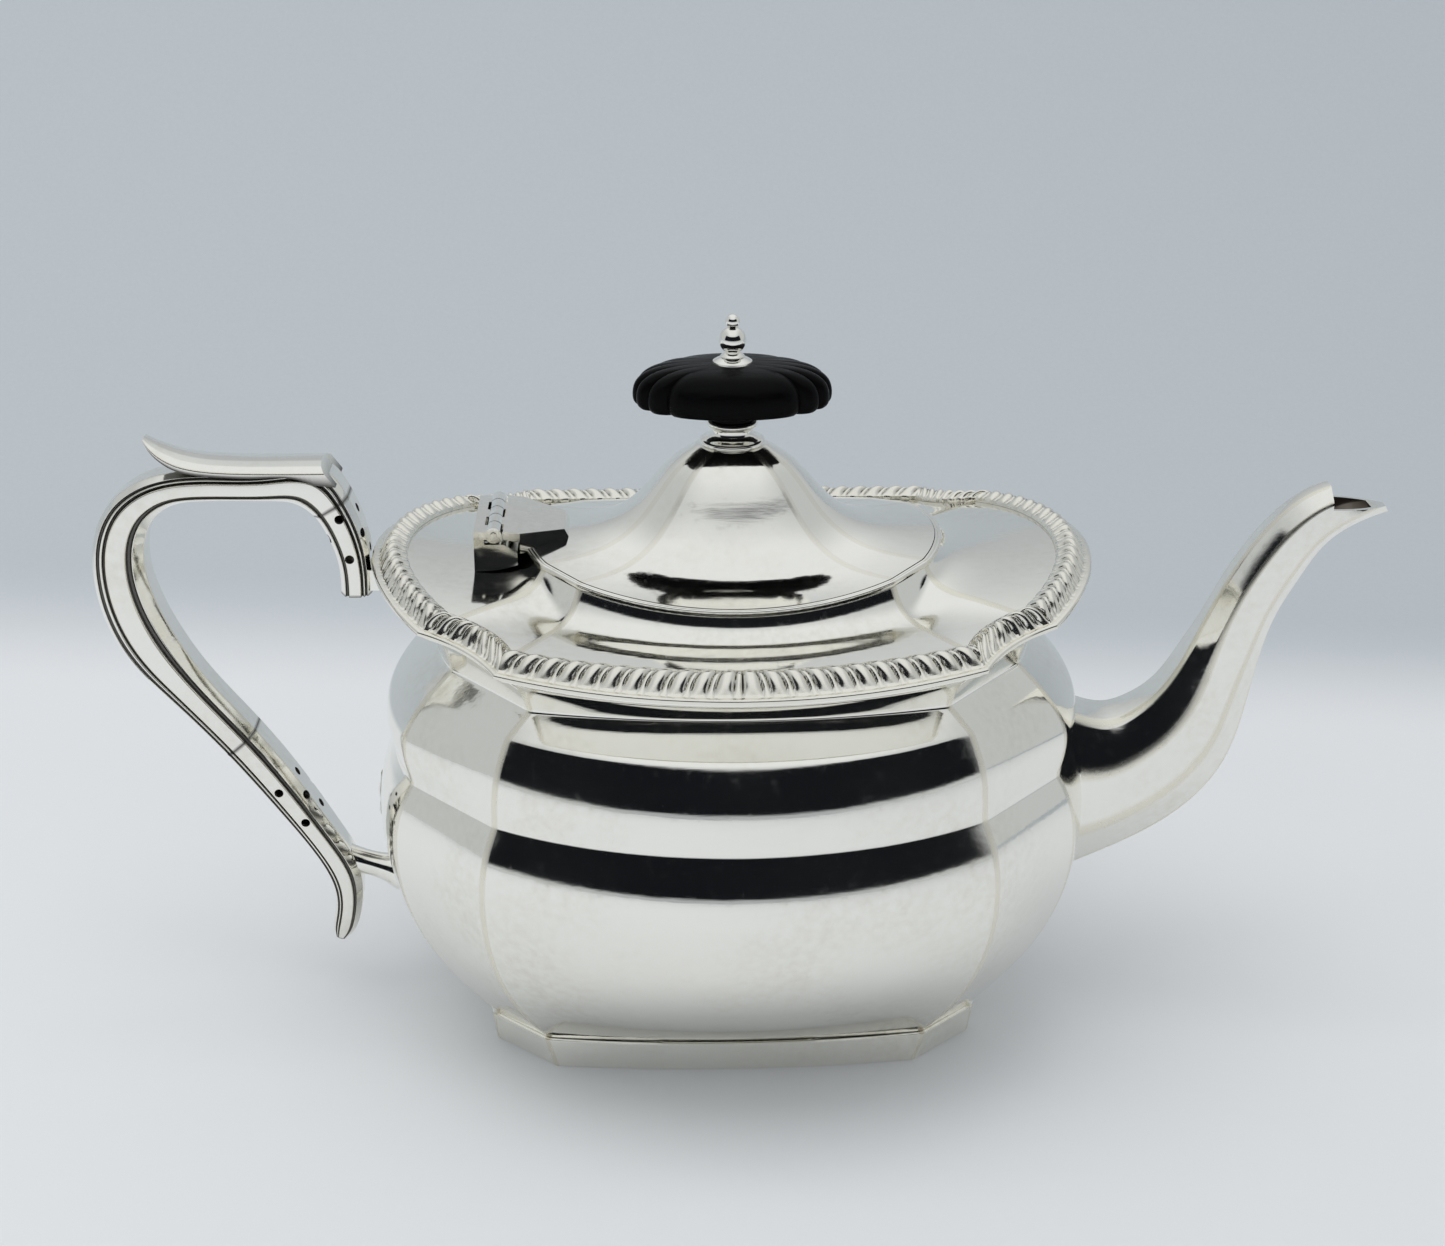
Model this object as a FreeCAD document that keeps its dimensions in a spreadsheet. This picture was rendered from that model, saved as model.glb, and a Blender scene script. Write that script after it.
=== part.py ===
# Silver-plated teapot: eight-panelled body on a foot ring, hinged pagoda lid, faceted spout, vented handle.
# Frame: origin at the middle of the foot on the table, +X towards the spout, +Z up, millimetres.
import FreeCAD
import Part
import Sketcher

import math
import os
import re

Vec = FreeCAD.Vector

# Each level of the pot is an eight-sided plan. It is given by its middle points and corners:
# half_length and half_width to the middles of an end and of the front, front_half along the front to its
# corner, end_half along the end to its corner, and how far the front and the end bow out.
LEVELS = {
    "foot_bottom": {"half_length": 55.0, "half_width": 34.0, "front_half": 39.5, "front_bow": 2.5,
                    "end_half": 19.5, "end_bow": 2.0},
    "foot_top": {"half_length": 56.2, "half_width": 35.2, "front_half": 41.5, "front_bow": 3.0,
                 "end_half": 21.0, "end_bow": 2.5},
    "belly": {"half_length": 78.0, "half_width": 70.0, "front_half": 52.7, "front_bow": 16.0,
              "end_half": 31.0, "end_bow": 5.6},
    "crease": {"half_length": 74.0, "half_width": 66.0, "front_half": 49.8, "front_bow": 15.0,
               "end_half": 30.0, "end_bow": 5.9},
    "lobe": {"half_length": 75.4, "half_width": 64.8, "front_half": 49.3, "front_bow": 14.4,
             "end_half": 28.8, "end_bow": 5.9},
    "ridge": {"half_length": 69.8, "half_width": 60.8, "front_half": 46.8, "front_bow": 13.0,
              "end_half": 25.6, "end_bow": 5.4},
    "neck": {"half_length": 64.0, "half_width": 51.2, "front_half": 42.3, "front_bow": 6.0,
             "end_half": 23.5, "end_bow": 4.5},
    "rim": {"half_length": 75.6, "half_width": 60.0, "front_half": 47.8, "front_bow": 8.0,
            "end_half": 37.2, "end_bow": 12.2},
    "border_inner": {"half_length": 69.6, "half_width": 52.5, "front_half": 45.3, "front_bow": 6.4,
                     "end_half": 35.2, "end_bow": 12.0},
    "trough": {"half_length": 57.5, "half_width": 44.0, "front_half": 38.8, "front_bow": 7.8,
               "end_half": 26.9, "end_bow": 8.6},
    "cove": {"half_length": 48.2, "half_width": 38.6, "front_half": 34.6, "front_bow": 9.2,
             "end_half": 21.0, "end_bow": 5.2},
    "lid_edge": {"half_length": 45.0, "half_width": 36.0, "front_half": 32.6, "front_bow": 9.4,
                 "end_half": 18.8, "end_bow": 4.6},
    "lid_top": {"half_length": 7.6, "half_width": 6.6, "front_half": 4.4, "front_bow": 0.8,
                "end_half": 3.4, "end_bow": 0.8},
}

# Levels that stay flat have one height.
HEIGHTS = {
    "foot_bottom": 0.0,
    "foot_top": 7.3,
    "belly": 55.0,
    "crease": 69.0,
    "lobe": 78.5,
    "ridge": 87.0,
    "neck": 92.0,
    "lid_top": 133.6,
}

# The rim, shoulder and lid edge sweep up towards the ends: height at the front middle, front corner,
# end corner and end middle.
SWEPT = {
    "rim": {"front": 99.0, "front_corner": 101.6, "end_corner": 104.7, "end": 108.7},
    "border_inner": {"front": 102.6, "front_corner": 104.6, "end_corner": 107.8, "end": 111.2},
    "trough": {"front": 103.0, "front_corner": 104.8, "end_corner": 108.2, "end": 109.9},
    "cove": {"front": 105.0, "front_corner": 107.2, "end_corner": 109.8, "end": 111.0},
    "lid_edge": {"front": 109.4, "front_corner": 112.1, "end_corner": 113.6, "end": 114.5},
}

# Stations along the spout: reach beyond the belly's end and height of the upper and of the lower edge,
# and half the width across.
STATION = ("upper_reach", "upper_height", "lower_reach", "lower_height", "half_width")
SPOUT = {
    "root": (-10.0, 76.0, -12.0, 31.0, 13.5),
    "spring": (4.7, 70.5, 4.6, 37.6, 11.6),
    "swell": (10.6, 72.2, 16.6, 43.2, 9.8),
    "breast": (15.2, 75.4, 25.6, 49.8, 8.6),
    "bend": (19.2, 80.4, 32.6, 59.4, 7.6),
    "rise": (22.6, 86.6, 36.4, 72.4, 6.9),
    "neck": (25.8, 93.0, 38.8, 83.8, 6.5),
    "upper_neck": (29.8, 101.4, 41.8, 94.0, 6.2),
    "nape": (34.6, 109.6, 45.8, 101.8, 6.0),
    "crown": (40.0, 116.4, 49.6, 108.2, 5.8),
    "brow": (45.2, 120.8, 53.4, 112.2, 5.5),
    "mouth": (50.8, 123.4, 58.0, 115.0, 5.0),
    "beak": (60.0, 124.6, 64.4, 117.0, 1.5),
}

# Stations along the handle, from the upper end over the arch to the tail: reach beyond the pot's end and
# height of the outer and of the inner edge, and half the width across.
HANDLE = {
    "curl": (-0.4, 101.6, 6.2, 101.6, 6.0),
    "upper_joint": (-0.5, 108.0, 6.4, 108.0, 6.2),
    "upper_limb": (0.6, 115.6, 8.2, 114.2, 6.4),
    "upper_seam": (3.6, 123.6, 11.0, 119.2, 6.5),
    "shoulder": (8.0, 129.4, 14.4, 122.6, 6.6),
    "thumb": (19.5, 129.8, 20.0, 123.9, 6.6),
    "thumb_end": (35.0, 129.6, 35.1, 124.2, 6.6),
    "turn": (45.6, 127.8, 42.2, 123.1, 6.6),
    "arch_top": (53.4, 122.8, 47.2, 119.2, 6.6),
    "arch": (57.6, 115.2, 49.8, 113.4, 6.6),
    "arch_back": (58.7, 106.6, 50.2, 106.6, 6.6),
    "arch_low": (57.4, 97.0, 48.4, 99.4, 6.6),
    "limb_top": (53.2, 87.2, 45.0, 92.0, 6.6),
    "limb": (45.6, 78.0, 38.6, 83.2, 6.5),
    "lower_seam": (33.4, 63.8, 26.8, 69.4, 6.4),
    "lower_limb": (22.8, 49.4, 16.4, 54.0, 6.2),
    "lower_joint": (16.4, 39.8, 10.0, 43.0, 5.8),
    "tail_root": (12.6, 31.4, 5.9, 33.4, 5.2),
    "tail": (12.1, 24.6, 6.2, 24.4, 4.4),
    "tail_curl": (12.9, 19.2, 8.2, 18.2, 3.2),
    "tail_tip": (12.6, 16.4, 10.4, 15.7, 1.8),
}

SIZES = {
    # sheet metal
    "wall": 1.0,
    "shoulder_sheet": 1.0,
    "lid_sheet": 0.9,
    "base_sheet": 1.0,
    "base_gap": 0.1,
    "foot_wall": 3.0,
    "seat_inset": 1.0,
    "cant_hollow": 2.0,
    # gadroon border
    "border_overhang": 1.4,
    "border_lip": 1.0,
    "border_rise": 2.6,
    # lid and its seat
    "lid_seat_gap": 0.3,
    "lid_edge_sheet": 1.0,
    "lid_wire_width": 1.4,
    "lip_inset": 0.5,
    "lip_width": 1.6,
    "bezel_gap": 0.9,
    "bezel_sheet": 0.8,
    "bezel_depth": 5.0,
    # hinge
    "hinge_reach": 50.5,
    "hinge_height": 117.5,
    "knuckle_radius": 1.7,
    "pin_radius": 0.7,
    "pin_play": 0.05,
    "hinge_width": 24.0,
    "knuckle_gap": 0.3,
    "pin_overhang": 0.3,
    "hinge_plate": 2.2,
    "leaf_reach": 13.0,
    "leaf_tip_width": 10.0,
    "leaf_sheet": 1.4,
    "leaf_drop": 1.6,
    # finial
    "collar_radius": 7.0,
    "collar_waist": 4.2,
    "collar_ring": 5.3,
    "collar_height": 4.2,
    "collar_ring_height": 1.4,
    "knob_half_length": 21.0,
    "knob_half_depth": 13.5,
    "knob_height": 13.6,
    "knob_stem_radius": 4.7,
    "knob_stem_height": 3.2,
    "knob_crown_radius": 4.6,
    "knob_flute": 0.9,
    "washer_radius": 4.2,
    "washer_height": 1.2,
    "bolt_radius": 1.5,
    "bolt_play": 0.1,
    "finial_waist": 1.7,
    "finial_foot": 2.6,
    "finial_foot_height": 1.2,
    "ball_radius": 2.9,
    "ball_lift": 3.6,
    "tip_waist": 1.0,
    "tip_ball_radius": 1.55,
    "tip_lift": 7.55,
    "nut_flat": 3.2,
    "nut_height": 2.4,
    "nut_washer_radius": 4.4,
    "nut_washer_height": 0.8,
    "bolt_tail": 1.5,
    # spout
    "spout_wall": 1.0,
    "spout_facet": 0.46,
    "mouth_cut_reach": 51.0,
    "mouth_cut_height": 119.0,
    "mouth_cut_fall": 0.8,
    "strainer_radius": 1.4,
    "strainer_pitch": 5.2,
    "strainer_height": 54.0,
    # handle
    "handle_rim_gap": 1.0,
    "handle_wall": 1.2,
    "handle_facet": 0.55,
    "thumb_half_width": 6.4,
    "thumb_sheet": 1.3,
    "thumb_spur_rise": 6.4,
    "thumb_spur_reach": 45.8,
    "thumb_spur_root": 35.0,
    "vent_radius": 1.0,
    "vent_pitch": 4.6,
    "upper_stub_half_width": 4.0,
    "upper_stub_rise": 0.8,
    "upper_stub_height": 4.6,
    "lower_stub_radius": 3.2,
    "lower_stub_height": 37.0,
    "stub_collar_radius": 4.4,
    "stub_collar_width": 2.0,
    "stub_collar_reach": 2.2,
    "back_plate_sheet": 1.6,
    "back_plate_half_width": 8.0,
    "back_plate_low": 28.0,
    "back_plate_high": 58.0,
}

doc = FreeCAD.newDocument("teapot")
sheet = doc.addObject("Spreadsheet::Sheet", "sizes")

sheet_values = dict(SIZES)
for level, measures in LEVELS.items():
    for measure, value in measures.items():
        sheet_values[f"{level}_{measure}"] = value
for level, value in HEIGHTS.items():
    sheet_values[f"{level}_height"] = value
for level, heights in SWEPT.items():
    for place, value in heights.items():
        sheet_values[f"{level}_{place}_height"] = value
for run, stations in (("spout", SPOUT), ("handle", HANDLE)):
    for station, measures in stations.items():
        for measure, value in zip(STATION, measures):
            sheet_values[f"{run}_{station}_{measure}"] = value
for row, (alias, value) in enumerate(sheet_values.items(), start=1):
    sheet.set(f"A{row}", alias)
    sheet.set(f"B{row}", str(value))
    sheet.setAlias(f"B{row}", alias)
doc.recompute()


def size(alias):
    return float(sheet.get(alias))


def bound(text):
    """Expression with each size name pointed at the sheet."""
    return re.sub(r"[a-z][a-z_]+", lambda word: "sizes." + word.group(0), text)


def worked_out(text):
    return float(sheet.evalExpression(bound(text)))


# Plans and shells

# Lengths below this count as nothing.
NOTHING = 1e-6


def plan(level):
    """Quarter outline of a level: end middle, end corner, canted middle, front corner, front middle."""
    end = Vec(size(f"{level}_half_length"), 0, 0)
    front = Vec(0, size(f"{level}_half_width"), 0)
    end_corner = Vec(end.x - size(f"{level}_end_bow"), size(f"{level}_end_half"), 0)
    front_corner = Vec(size(f"{level}_front_half"), front.y - size(f"{level}_front_bow"), 0)
    if level in SWEPT:
        end.z = size(f"{level}_end_height")
        end_corner.z = size(f"{level}_end_corner_height")
        front_corner.z = size(f"{level}_front_corner_height")
        front.z = size(f"{level}_front_height")
    else:
        for point in (end, end_corner, front_corner, front):
            point.z = size(f"{level}_height")
    return [end, end_corner, (end_corner + front_corner) / 2, front_corner, front]


def between(first, second, share, lift=None):
    """Quarter outline part of the way from one to another, in plan by share and in height by lift."""
    lift = share if lift is None else lift
    middle = []
    for start, stop in zip(first, second):
        point = start + (stop - start) * share
        point.z = start.z + (stop.z - start.z) * lift
        middle.append(point)
    return middle


def hollowed(quarter, depth):
    """Quarter outline with its canted side bowed inwards."""
    end, end_corner, cant, front_corner, front = quarter
    along = front_corner - end_corner
    inward = Vec(-along.y, along.x, 0)
    inward.normalize()
    return [end, end_corner, cant + inward * depth, front_corner, front]


def inset(quarter, distance):
    """Quarter outline moved inwards in plan by a distance, or outwards where it is negative."""
    end, end_corner, cant, front_corner, front = quarter
    mirrored_end = Vec(end_corner.x, -end_corner.y, end_corner.z)
    mirrored_front = Vec(-front_corner.x, front_corner.y, front_corner.z)
    round_trip = [mirrored_end, end, end_corner, cant, front_corner, front, mirrored_front]
    moved = []
    for before, here, after in zip(round_trip, round_trip[1:], round_trip[2:]):
        normals = []
        for start, stop in ((before, here), (here, after)):
            along = Vec(stop.x - start.x, stop.y - start.y, 0)
            along.normalize()
            normals.append(Vec(-along.y, along.x, 0))
        bisector = normals[0] + normals[1]
        bisector.normalize()
        moved.append(here + bisector * (distance / bisector.dot(normals[0])))
    return moved


def raised(quarter, distance):
    return [point + Vec(0, 0, distance) for point in quarter]


def flattened(quarter, height):
    return [Vec(point.x, point.y, height) for point in quarter]


def side(start, middle, stop):
    """Arc through three points, or a line where they are in line."""
    bend = (middle - start).cross(stop - start).Length
    if bend < NOTHING:
        return Part.LineSegment(start, stop).toShape()
    return Part.Arc(start, middle, stop).toShape()


def ring(quarter):
    """Closed wire of the eight sides that a quarter outline and its mirror images make."""
    end, end_corner, cant, front_corner, front = quarter
    walk = []
    for mirror_x, mirror_y in ((1, 1), (-1, 1), (-1, -1), (1, -1)):
        points = [Vec(p.x * mirror_x, p.y * mirror_y, p.z) for p in (end, end_corner, cant, front_corner)]
        middle_front = Vec(0, front.y * mirror_y, front.z)
        if mirror_x * mirror_y > 0:
            walk += points + [middle_front]
        else:
            walk += [points[3], points[2], points[1]]
    walk = walk[1:] + walk[:1]
    edges = []
    for index in range(0, len(walk), 2):
        start = walk[index]
        stop = walk[(index + 2) % len(walk)]
        edges.append(side(start, walk[index + 1], stop))
    return Part.Wire(edges)


def skin(quarters):
    """Faces of one smooth stretch through quarter outlines, or a flat ring where all lie at one height."""
    wires = [ring(quarter) for quarter in quarters]
    heights = [point.z for quarter in quarters for point in quarter]
    if max(heights) - min(heights) < NOTHING:
        wires.sort(key=lambda wire: -wire.BoundBox.DiagonalLength)
        return [Part.Face(wires, "Part::FaceMakerBullseye")]
    return Part.makeLoft(wires, False, False).Faces


def closed(faces):
    shell = Part.Shell(faces)
    shell.sewShape()
    solid = Part.Solid(shell)
    if solid.Volume < 0:
        solid.reverse()
    return solid


def band(*stretches):
    """Ring-shaped solid whose section runs through the stretches and back to the first outline."""
    faces = []
    for stretch in stretches:
        faces += skin(stretch)
    faces += skin([stretches[-1][-1], stretches[0][0]])
    return closed(faces)


def block(*stretches):
    """Solid between the stretches, capped by flat faces at its first and last outlines."""
    faces = []
    for stretch in stretches:
        faces += skin(stretch)
    faces.append(Part.Face(ring(stretches[0][0])))
    faces.append(Part.Face(ring(stretches[-1][-1])))
    return closed(faces)


def box(low, high):
    return Part.makeBox(high.x - low.x, high.y - low.y, high.z - low.z, low)


def slab(points, half_width):
    """Plate with an outline in the plane of X and Z, as thick along Y as twice half_width."""
    corners = [Vec(x, -half_width, z) for x, z in points]
    face = Part.Face(Part.makePolygon(corners + corners[:1]))
    return face.extrude(Vec(0, 2 * half_width, 0))


def piece(label, shape):
    """Sub-part whose shape is worked out from the sheet."""
    feature = doc.addObject("Part::Feature", label)
    feature.Label = label
    feature.Shape = shape
    feature.Placement = FreeCAD.Placement()
    nodes.append(feature)
    return feature


def primitive(kind, name, **expressions):
    """Primitive whose sizes and place are bound to the sheet."""
    solid = doc.addObject("Part::" + kind, name)
    for setting, text in expressions.items():
        solid.setExpression(setting.replace("Base_", "Placement.Base."), bound(text))
    return solid


def joined(kind, name, **links):
    result = doc.addObject("Part::" + kind, name)
    for link, target in links.items():
        setattr(result, link, target)
    return result


def node(feature, label):
    feature.Label = label
    nodes.append(feature)
    return feature


def origin_plane(body, role):
    return [plane for plane in body.Origin.OriginFeatures if plane.Role == role][0]


def closed_sketch(body, name, role, corners):
    """Sketch of straight sides whose corners are bound to the sheet, on one of the body's planes."""
    sketch = body.newObject("Sketcher::SketchObject", name)
    sketch.AttachmentSupport = [(origin_plane(body, role), "")]
    sketch.MapMode = "FlatFace"
    places = [Vec(worked_out(across), worked_out(up), 0) for across, up in corners]
    count = len(places)
    for index in range(count):
        sketch.addGeometry(Part.LineSegment(places[index], places[(index + 1) % count]))
    for index in range(count):
        sketch.addConstraint(Sketcher.Constraint("Coincident", index, 2, (index + 1) % count, 1))
    for index, (across, up) in enumerate(corners):
        place = places[index]
        for kind, text, distance in (("DistanceX", across, place.x), ("DistanceY", up, place.y)):
            number = sketch.addConstraint(Sketcher.Constraint(kind, -1, 1, index, 1, distance))
            sketch.setExpression(f"Constraints[{number}]", bound(text))
    return sketch


def turned(label, profile):
    """Piece turned about the pot's axis, from corners given as radius and height."""
    body = doc.addObject("PartDesign::Body", label)
    sketch = closed_sketch(body, label + "_profile", "XZ_Plane", profile)
    turn = body.newObject("PartDesign::Revolution", label + "_turn")
    turn.Profile = sketch
    turn.ReferenceAxis = (sketch, ["V_Axis"])
    turn.Angle = 360
    return node(body, label)


nodes = []

# Body, foot and base

foot_bottom = plan("foot_bottom")
foot_top = plan("foot_top")
seat = inset(foot_top, size("seat_inset"))
belly = plan("belly")
crease = plan("crease")
lobe = plan("lobe")
ridge = plan("ridge")
neck = plan("neck")
rim = hollowed(plan("rim"), size("cant_hollow"))

# A parabola through two levels is 3/4 of the way out at half its height.
PARABOLA_MIDDLE = 0.75
# The flare keeps close to the neck and then turns out.
FLARE_OUT = 0.3
FLARE_UP = 0.58


def body_stretches(distance):
    """The body's side from the foot to the rim, moved inwards by a distance."""
    levels = [inset(level, distance) for level in (seat, belly, crease, lobe, ridge, neck, rim)]
    low, wide, waist, upper, shoulder_ridge, throat, top = levels
    rise = between(low, wide, PARABOLA_MIDDLE, 0.5)
    turn = between(waist, wide, PARABOLA_MIDDLE, 0.5)
    flare = between(throat, top, FLARE_OUT, FLARE_UP)
    return [[low, rise, wide, turn, waist], [waist, upper, shoulder_ridge],
            [shoulder_ridge, throat], [throat, flare, top]]


def reverse_stretches(stretches):
    return [stretch[::-1] for stretch in stretches[::-1]]


def body_block(distance):
    """Everything inside the body's side, closed above the rim."""
    stretches = body_stretches(distance)
    above = size("lid_top_height")
    top = stretches[-1][-1]
    return block(*stretches, [top, flattened(top, above)])


outside = body_stretches(0)
inside = reverse_stretches(body_stretches(size("wall")))
body_wall = band(*outside, [outside[-1][-1], inside[0][0]], *inside)
body_outer = body_block(0)

hole_rows = ((-1, 0), (0, -0.5), (0, 0.5), (1, 0), (-2, -0.5), (-2, 0.5), (2, -0.5), (2, 0.5),
             (-1, -1), (-1, 1), (1, -1), (1, 1))
holes = []
for up, across in hole_rows:
    start = Vec(size("neck_half_length") / 2, across * size("strainer_pitch"),
                size("strainer_height") + up * size("strainer_pitch"))
    holes.append(Part.makeCylinder(size("strainer_radius"), size("belly_half_length"), start, Vec(1, 0, 0)))
piece("body_shell", body_wall.cut(holes))

foot_inner_bottom = inset(foot_bottom, size("foot_wall"))
foot_inner_top = inset(foot_top, size("foot_wall"))
piece("foot_ring", band([foot_bottom, foot_top], [foot_top, foot_inner_top],
                        [foot_inner_top, foot_inner_bottom]))

base_edge = inset(seat, size("wall") + size("base_gap"))
piece("base_plate", block([base_edge, raised(base_edge, size("base_sheet"))]))

# Shoulder and border

rim_top = raised(rim, size("shoulder_sheet"))
border_inner = hollowed(plan("border_inner"), size("cant_hollow"))
trough = plan("trough")
cove = plan("cove")
lid_edge = plan("lid_edge")
lip = raised(inset(lid_edge, size("lip_inset")), -size("lid_edge_sheet") - size("lid_seat_gap"))
opening = inset(lip, size("lip_width"))

sheet_down = -size("shoulder_sheet")
cove_under = inset(raised(cove, sheet_down), size("shoulder_sheet"))
opening_under = raised(opening, sheet_down)
piece("shoulder_plate", band(
    [rim_top, border_inner], [border_inner, trough, cove, lip], [lip, opening], [opening, opening_under],
    [opening_under, cove_under, raised(trough, sheet_down), raised(border_inner, sheet_down)],
    [raised(border_inner, sheet_down), rim]))

lip_low = inset(rim_top, -size("border_overhang"))
lip_high = raised(lip_low, size("border_lip"))
gadroon_foot = raised(rim_top, size("border_lip"))
gadroon_crest = raised(between(gadroon_foot, border_inner, 0.5), size("border_rise"))
gadroon_edge = raised(border_inner, size("border_lip"))
piece("gadroon_border", band(
    [border_inner, rim_top], [rim_top, lip_low], [lip_low, lip_high], [lip_high, gadroon_foot],
    [gadroon_foot, gadroon_crest, gadroon_edge]))

# Lid

lid_top = plan("lid_top")
# Shares of the way in from the lid's edge, and of the climb to its top, along its hollow curve.
LID_CURVE = ((0.2, 0.012), (0.42, 0.07), (0.6, 0.235), (0.74, 0.5), (0.87, 0.78))
lid_brim = inset(lid_edge, size("lid_wire_width"))
lid_rise = [lid_brim]
lid_under = [raised(lid_brim, -size("lid_edge_sheet"))]
for share, lift in LID_CURVE:
    outer = between(lid_edge, lid_top, share, lift)
    lid_rise.append(outer)
    lid_under.append(inset(raised(outer, -size("lid_sheet")), size("lid_sheet") * lift))
lid_rise.append(lid_top)
lid_under.append(inset(raised(lid_top, -size("lid_sheet")), size("lid_sheet")))
lid_faces = skin(lid_rise) + skin(lid_under) + skin([lid_brim, lid_under[0]])
lid_faces.append(Part.Face(ring(lid_rise[-1])))
lid_faces.append(Part.Face(ring(lid_under[-1])))
bolt_hole_radius = size("bolt_radius") + size("bolt_play")
bolt_hole = Part.makeCylinder(bolt_hole_radius, 2 * size("lid_top_height"))
lid_solid = closed(lid_faces).cut(bolt_hole)
piece("lid_shell", lid_solid)

lid_edge_under = raised(lid_edge, -size("lid_edge_sheet"))
piece("lid_edge_wire", band(
    [lid_brim, lid_edge], [lid_edge, lid_edge_under], [lid_edge_under, lid_under[0]]))

bezel_inset = size("lip_inset") + size("lip_width") + size("bezel_gap")
bezel_outer = raised(inset(lid_edge, bezel_inset), -size("lid_sheet") / 2)
bezel_inner = inset(bezel_outer, size("bezel_sheet"))
bezel_outer_low = raised(bezel_outer, -size("bezel_depth"))
bezel_inner_low = raised(bezel_inner, -size("bezel_depth"))
bezel = band(
    [bezel_outer, bezel_outer_low], [bezel_outer_low, bezel_inner_low], [bezel_inner_low, bezel_inner])
piece("lid_bezel", bezel.cut(lid_solid))

# Finial on the lid

bolt_hole_text = "bolt_radius + bolt_play"
collar_top = "lid_top_height + collar_height"
turned("finial_base", [
    (bolt_hole_text, "lid_top_height"),
    ("collar_radius", "lid_top_height"),
    ("collar_radius", "lid_top_height + collar_ring_height"),
    ("collar_waist", "lid_top_height + collar_height / 2"),
    ("collar_ring", collar_top + " - collar_ring_height"),
    ("collar_ring", collar_top),
    (bolt_hole_text, collar_top),
])

knob_low = worked_out(collar_top)
knob_base = knob_low + size("knob_stem_height")
knob_rise = size("knob_height") - size("knob_stem_height")
# Angles at which the knob's flutes meet: five narrow lobes round each end, one wide lobe on each side.
KNOB_CREASES = (-45, -27, -9, 9, 27, 45, 135, 153, 171, 189, 207, 225)
# Shares of the height above the knob's flat underside and of its girth beyond its crown.
KNOB_CURVE = ((0.0, 0.93), (0.22, 1.0), (0.6, 0.95), (0.86, 0.74))


def lobed(half_length, half_depth, height, flute):
    """Closed wire of lobes round an oval, with creases between them."""
    edges = []
    for start, stop in zip(KNOB_CREASES, KNOB_CREASES[1:] + (KNOB_CREASES[0] + 360,)):
        places = []
        for angle, depth in ((start, flute), ((start + stop) / 2, 0), (stop, flute)):
            turn = math.radians(angle)
            across = (half_length - depth) * math.cos(turn)
            places.append(Vec(across, (half_depth - depth) * math.sin(turn), height))
        edges.append(Part.Arc(*places).toShape())
    return Part.Wire(edges)


crown_radius = size("knob_crown_radius")
knob_wires = []
for share, girth in KNOB_CURVE:
    knob_wires.append(lobed(
        crown_radius + (size("knob_half_length") - crown_radius) * girth,
        crown_radius + (size("knob_half_depth") - crown_radius) * girth,
        knob_base + knob_rise * share, size("knob_flute") * girth))
knob_wires.append(lobed(crown_radius, crown_radius, knob_base + knob_rise, 0))
knob_stem = Part.makeCylinder(size("knob_stem_radius"), knob_base - knob_low + size("knob_flute"),
                              Vec(0, 0, knob_low))
piece("knob", Part.makeLoft(knob_wires, True, False).fuse(knob_stem).cut(bolt_hole))

knob_top = collar_top + " + knob_height"
turned("knob_washer", [
    (bolt_hole_text, knob_top),
    ("washer_radius", knob_top),
    ("washer_radius", knob_top + " + washer_height / 2"),
    ("finial_foot", knob_top + " + washer_height"),
    (bolt_hole_text, knob_top + " + washer_height"),
])

washer_top = knob_top + " + washer_height"
lid_ceiling = "lid_top_height - lid_sheet"
bolt_end = lid_ceiling + " - nut_washer_height - nut_height - bolt_tail"
finial_pieces = [
    primitive("Cylinder", "bolt_shank", Radius="bolt_radius", Height=f"{washer_top} - ({bolt_end})",
              Base_z=bolt_end),
    primitive("Cone", "finial_foot_cone", Radius1="finial_foot", Radius2="finial_waist",
              Height="finial_foot_height", Base_z=washer_top),
    primitive("Cylinder", "finial_waist_rod", Radius="finial_waist", Height="ball_lift", Base_z=washer_top),
    primitive("Sphere", "finial_ball", Radius="ball_radius", Base_z=washer_top + " + ball_lift"),
    primitive("Cylinder", "finial_tip_rod", Radius="tip_waist", Height="tip_lift - ball_lift",
              Base_z=washer_top + " + ball_lift"),
    primitive("Sphere", "finial_tip_ball", Radius="tip_ball_radius", Base_z=washer_top + " + tip_lift"),
]
node(joined("MultiFuse", "finial", Shapes=finial_pieces), "finial_bolt")

turned("finial_nut_washer", [
    (bolt_hole_text, lid_ceiling),
    ("nut_washer_radius", lid_ceiling),
    ("nut_washer_radius", lid_ceiling + " - nut_washer_height"),
    (bolt_hole_text, lid_ceiling + " - nut_washer_height"),
])

nut_low = lid_ceiling + " - nut_washer_height - nut_height"
nut_blank = primitive("Prism", "nut_blank", Circumradius="nut_flat", Height="nut_height", Base_z=nut_low)
nut_blank.Polygon = 6
nut_bore = primitive("Cylinder", "nut_bore", Radius=bolt_hole_text, Height="nut_height", Base_z=nut_low)
node(joined("Cut", "nut", Base=nut_blank, Tool=nut_bore), "finial_nut")

# Hinge

KNUCKLES = 5
hinge_x = -size("hinge_reach")
hinge_z = size("hinge_height")
half_hinge = size("hinge_width") / 2
knuckle_radius = size("knuckle_radius")
knuckle_gap = size("knuckle_gap")
knuckle_length = (size("hinge_width") - (KNUCKLES - 1) * knuckle_gap) / KNUCKLES
plate_right = hinge_x - knuckle_radius - knuckle_gap
plate_left = plate_right - size("hinge_plate")
leaf_left = hinge_x + knuckle_radius + knuckle_gap
web_half_height = knuckle_radius / 2
pin_hole = Part.makeCylinder(size("pin_radius") + size("pin_play"), 2 * size("hinge_width"),
                             Vec(hinge_x, -size("hinge_width"), hinge_z), Vec(0, 1, 0))


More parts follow.
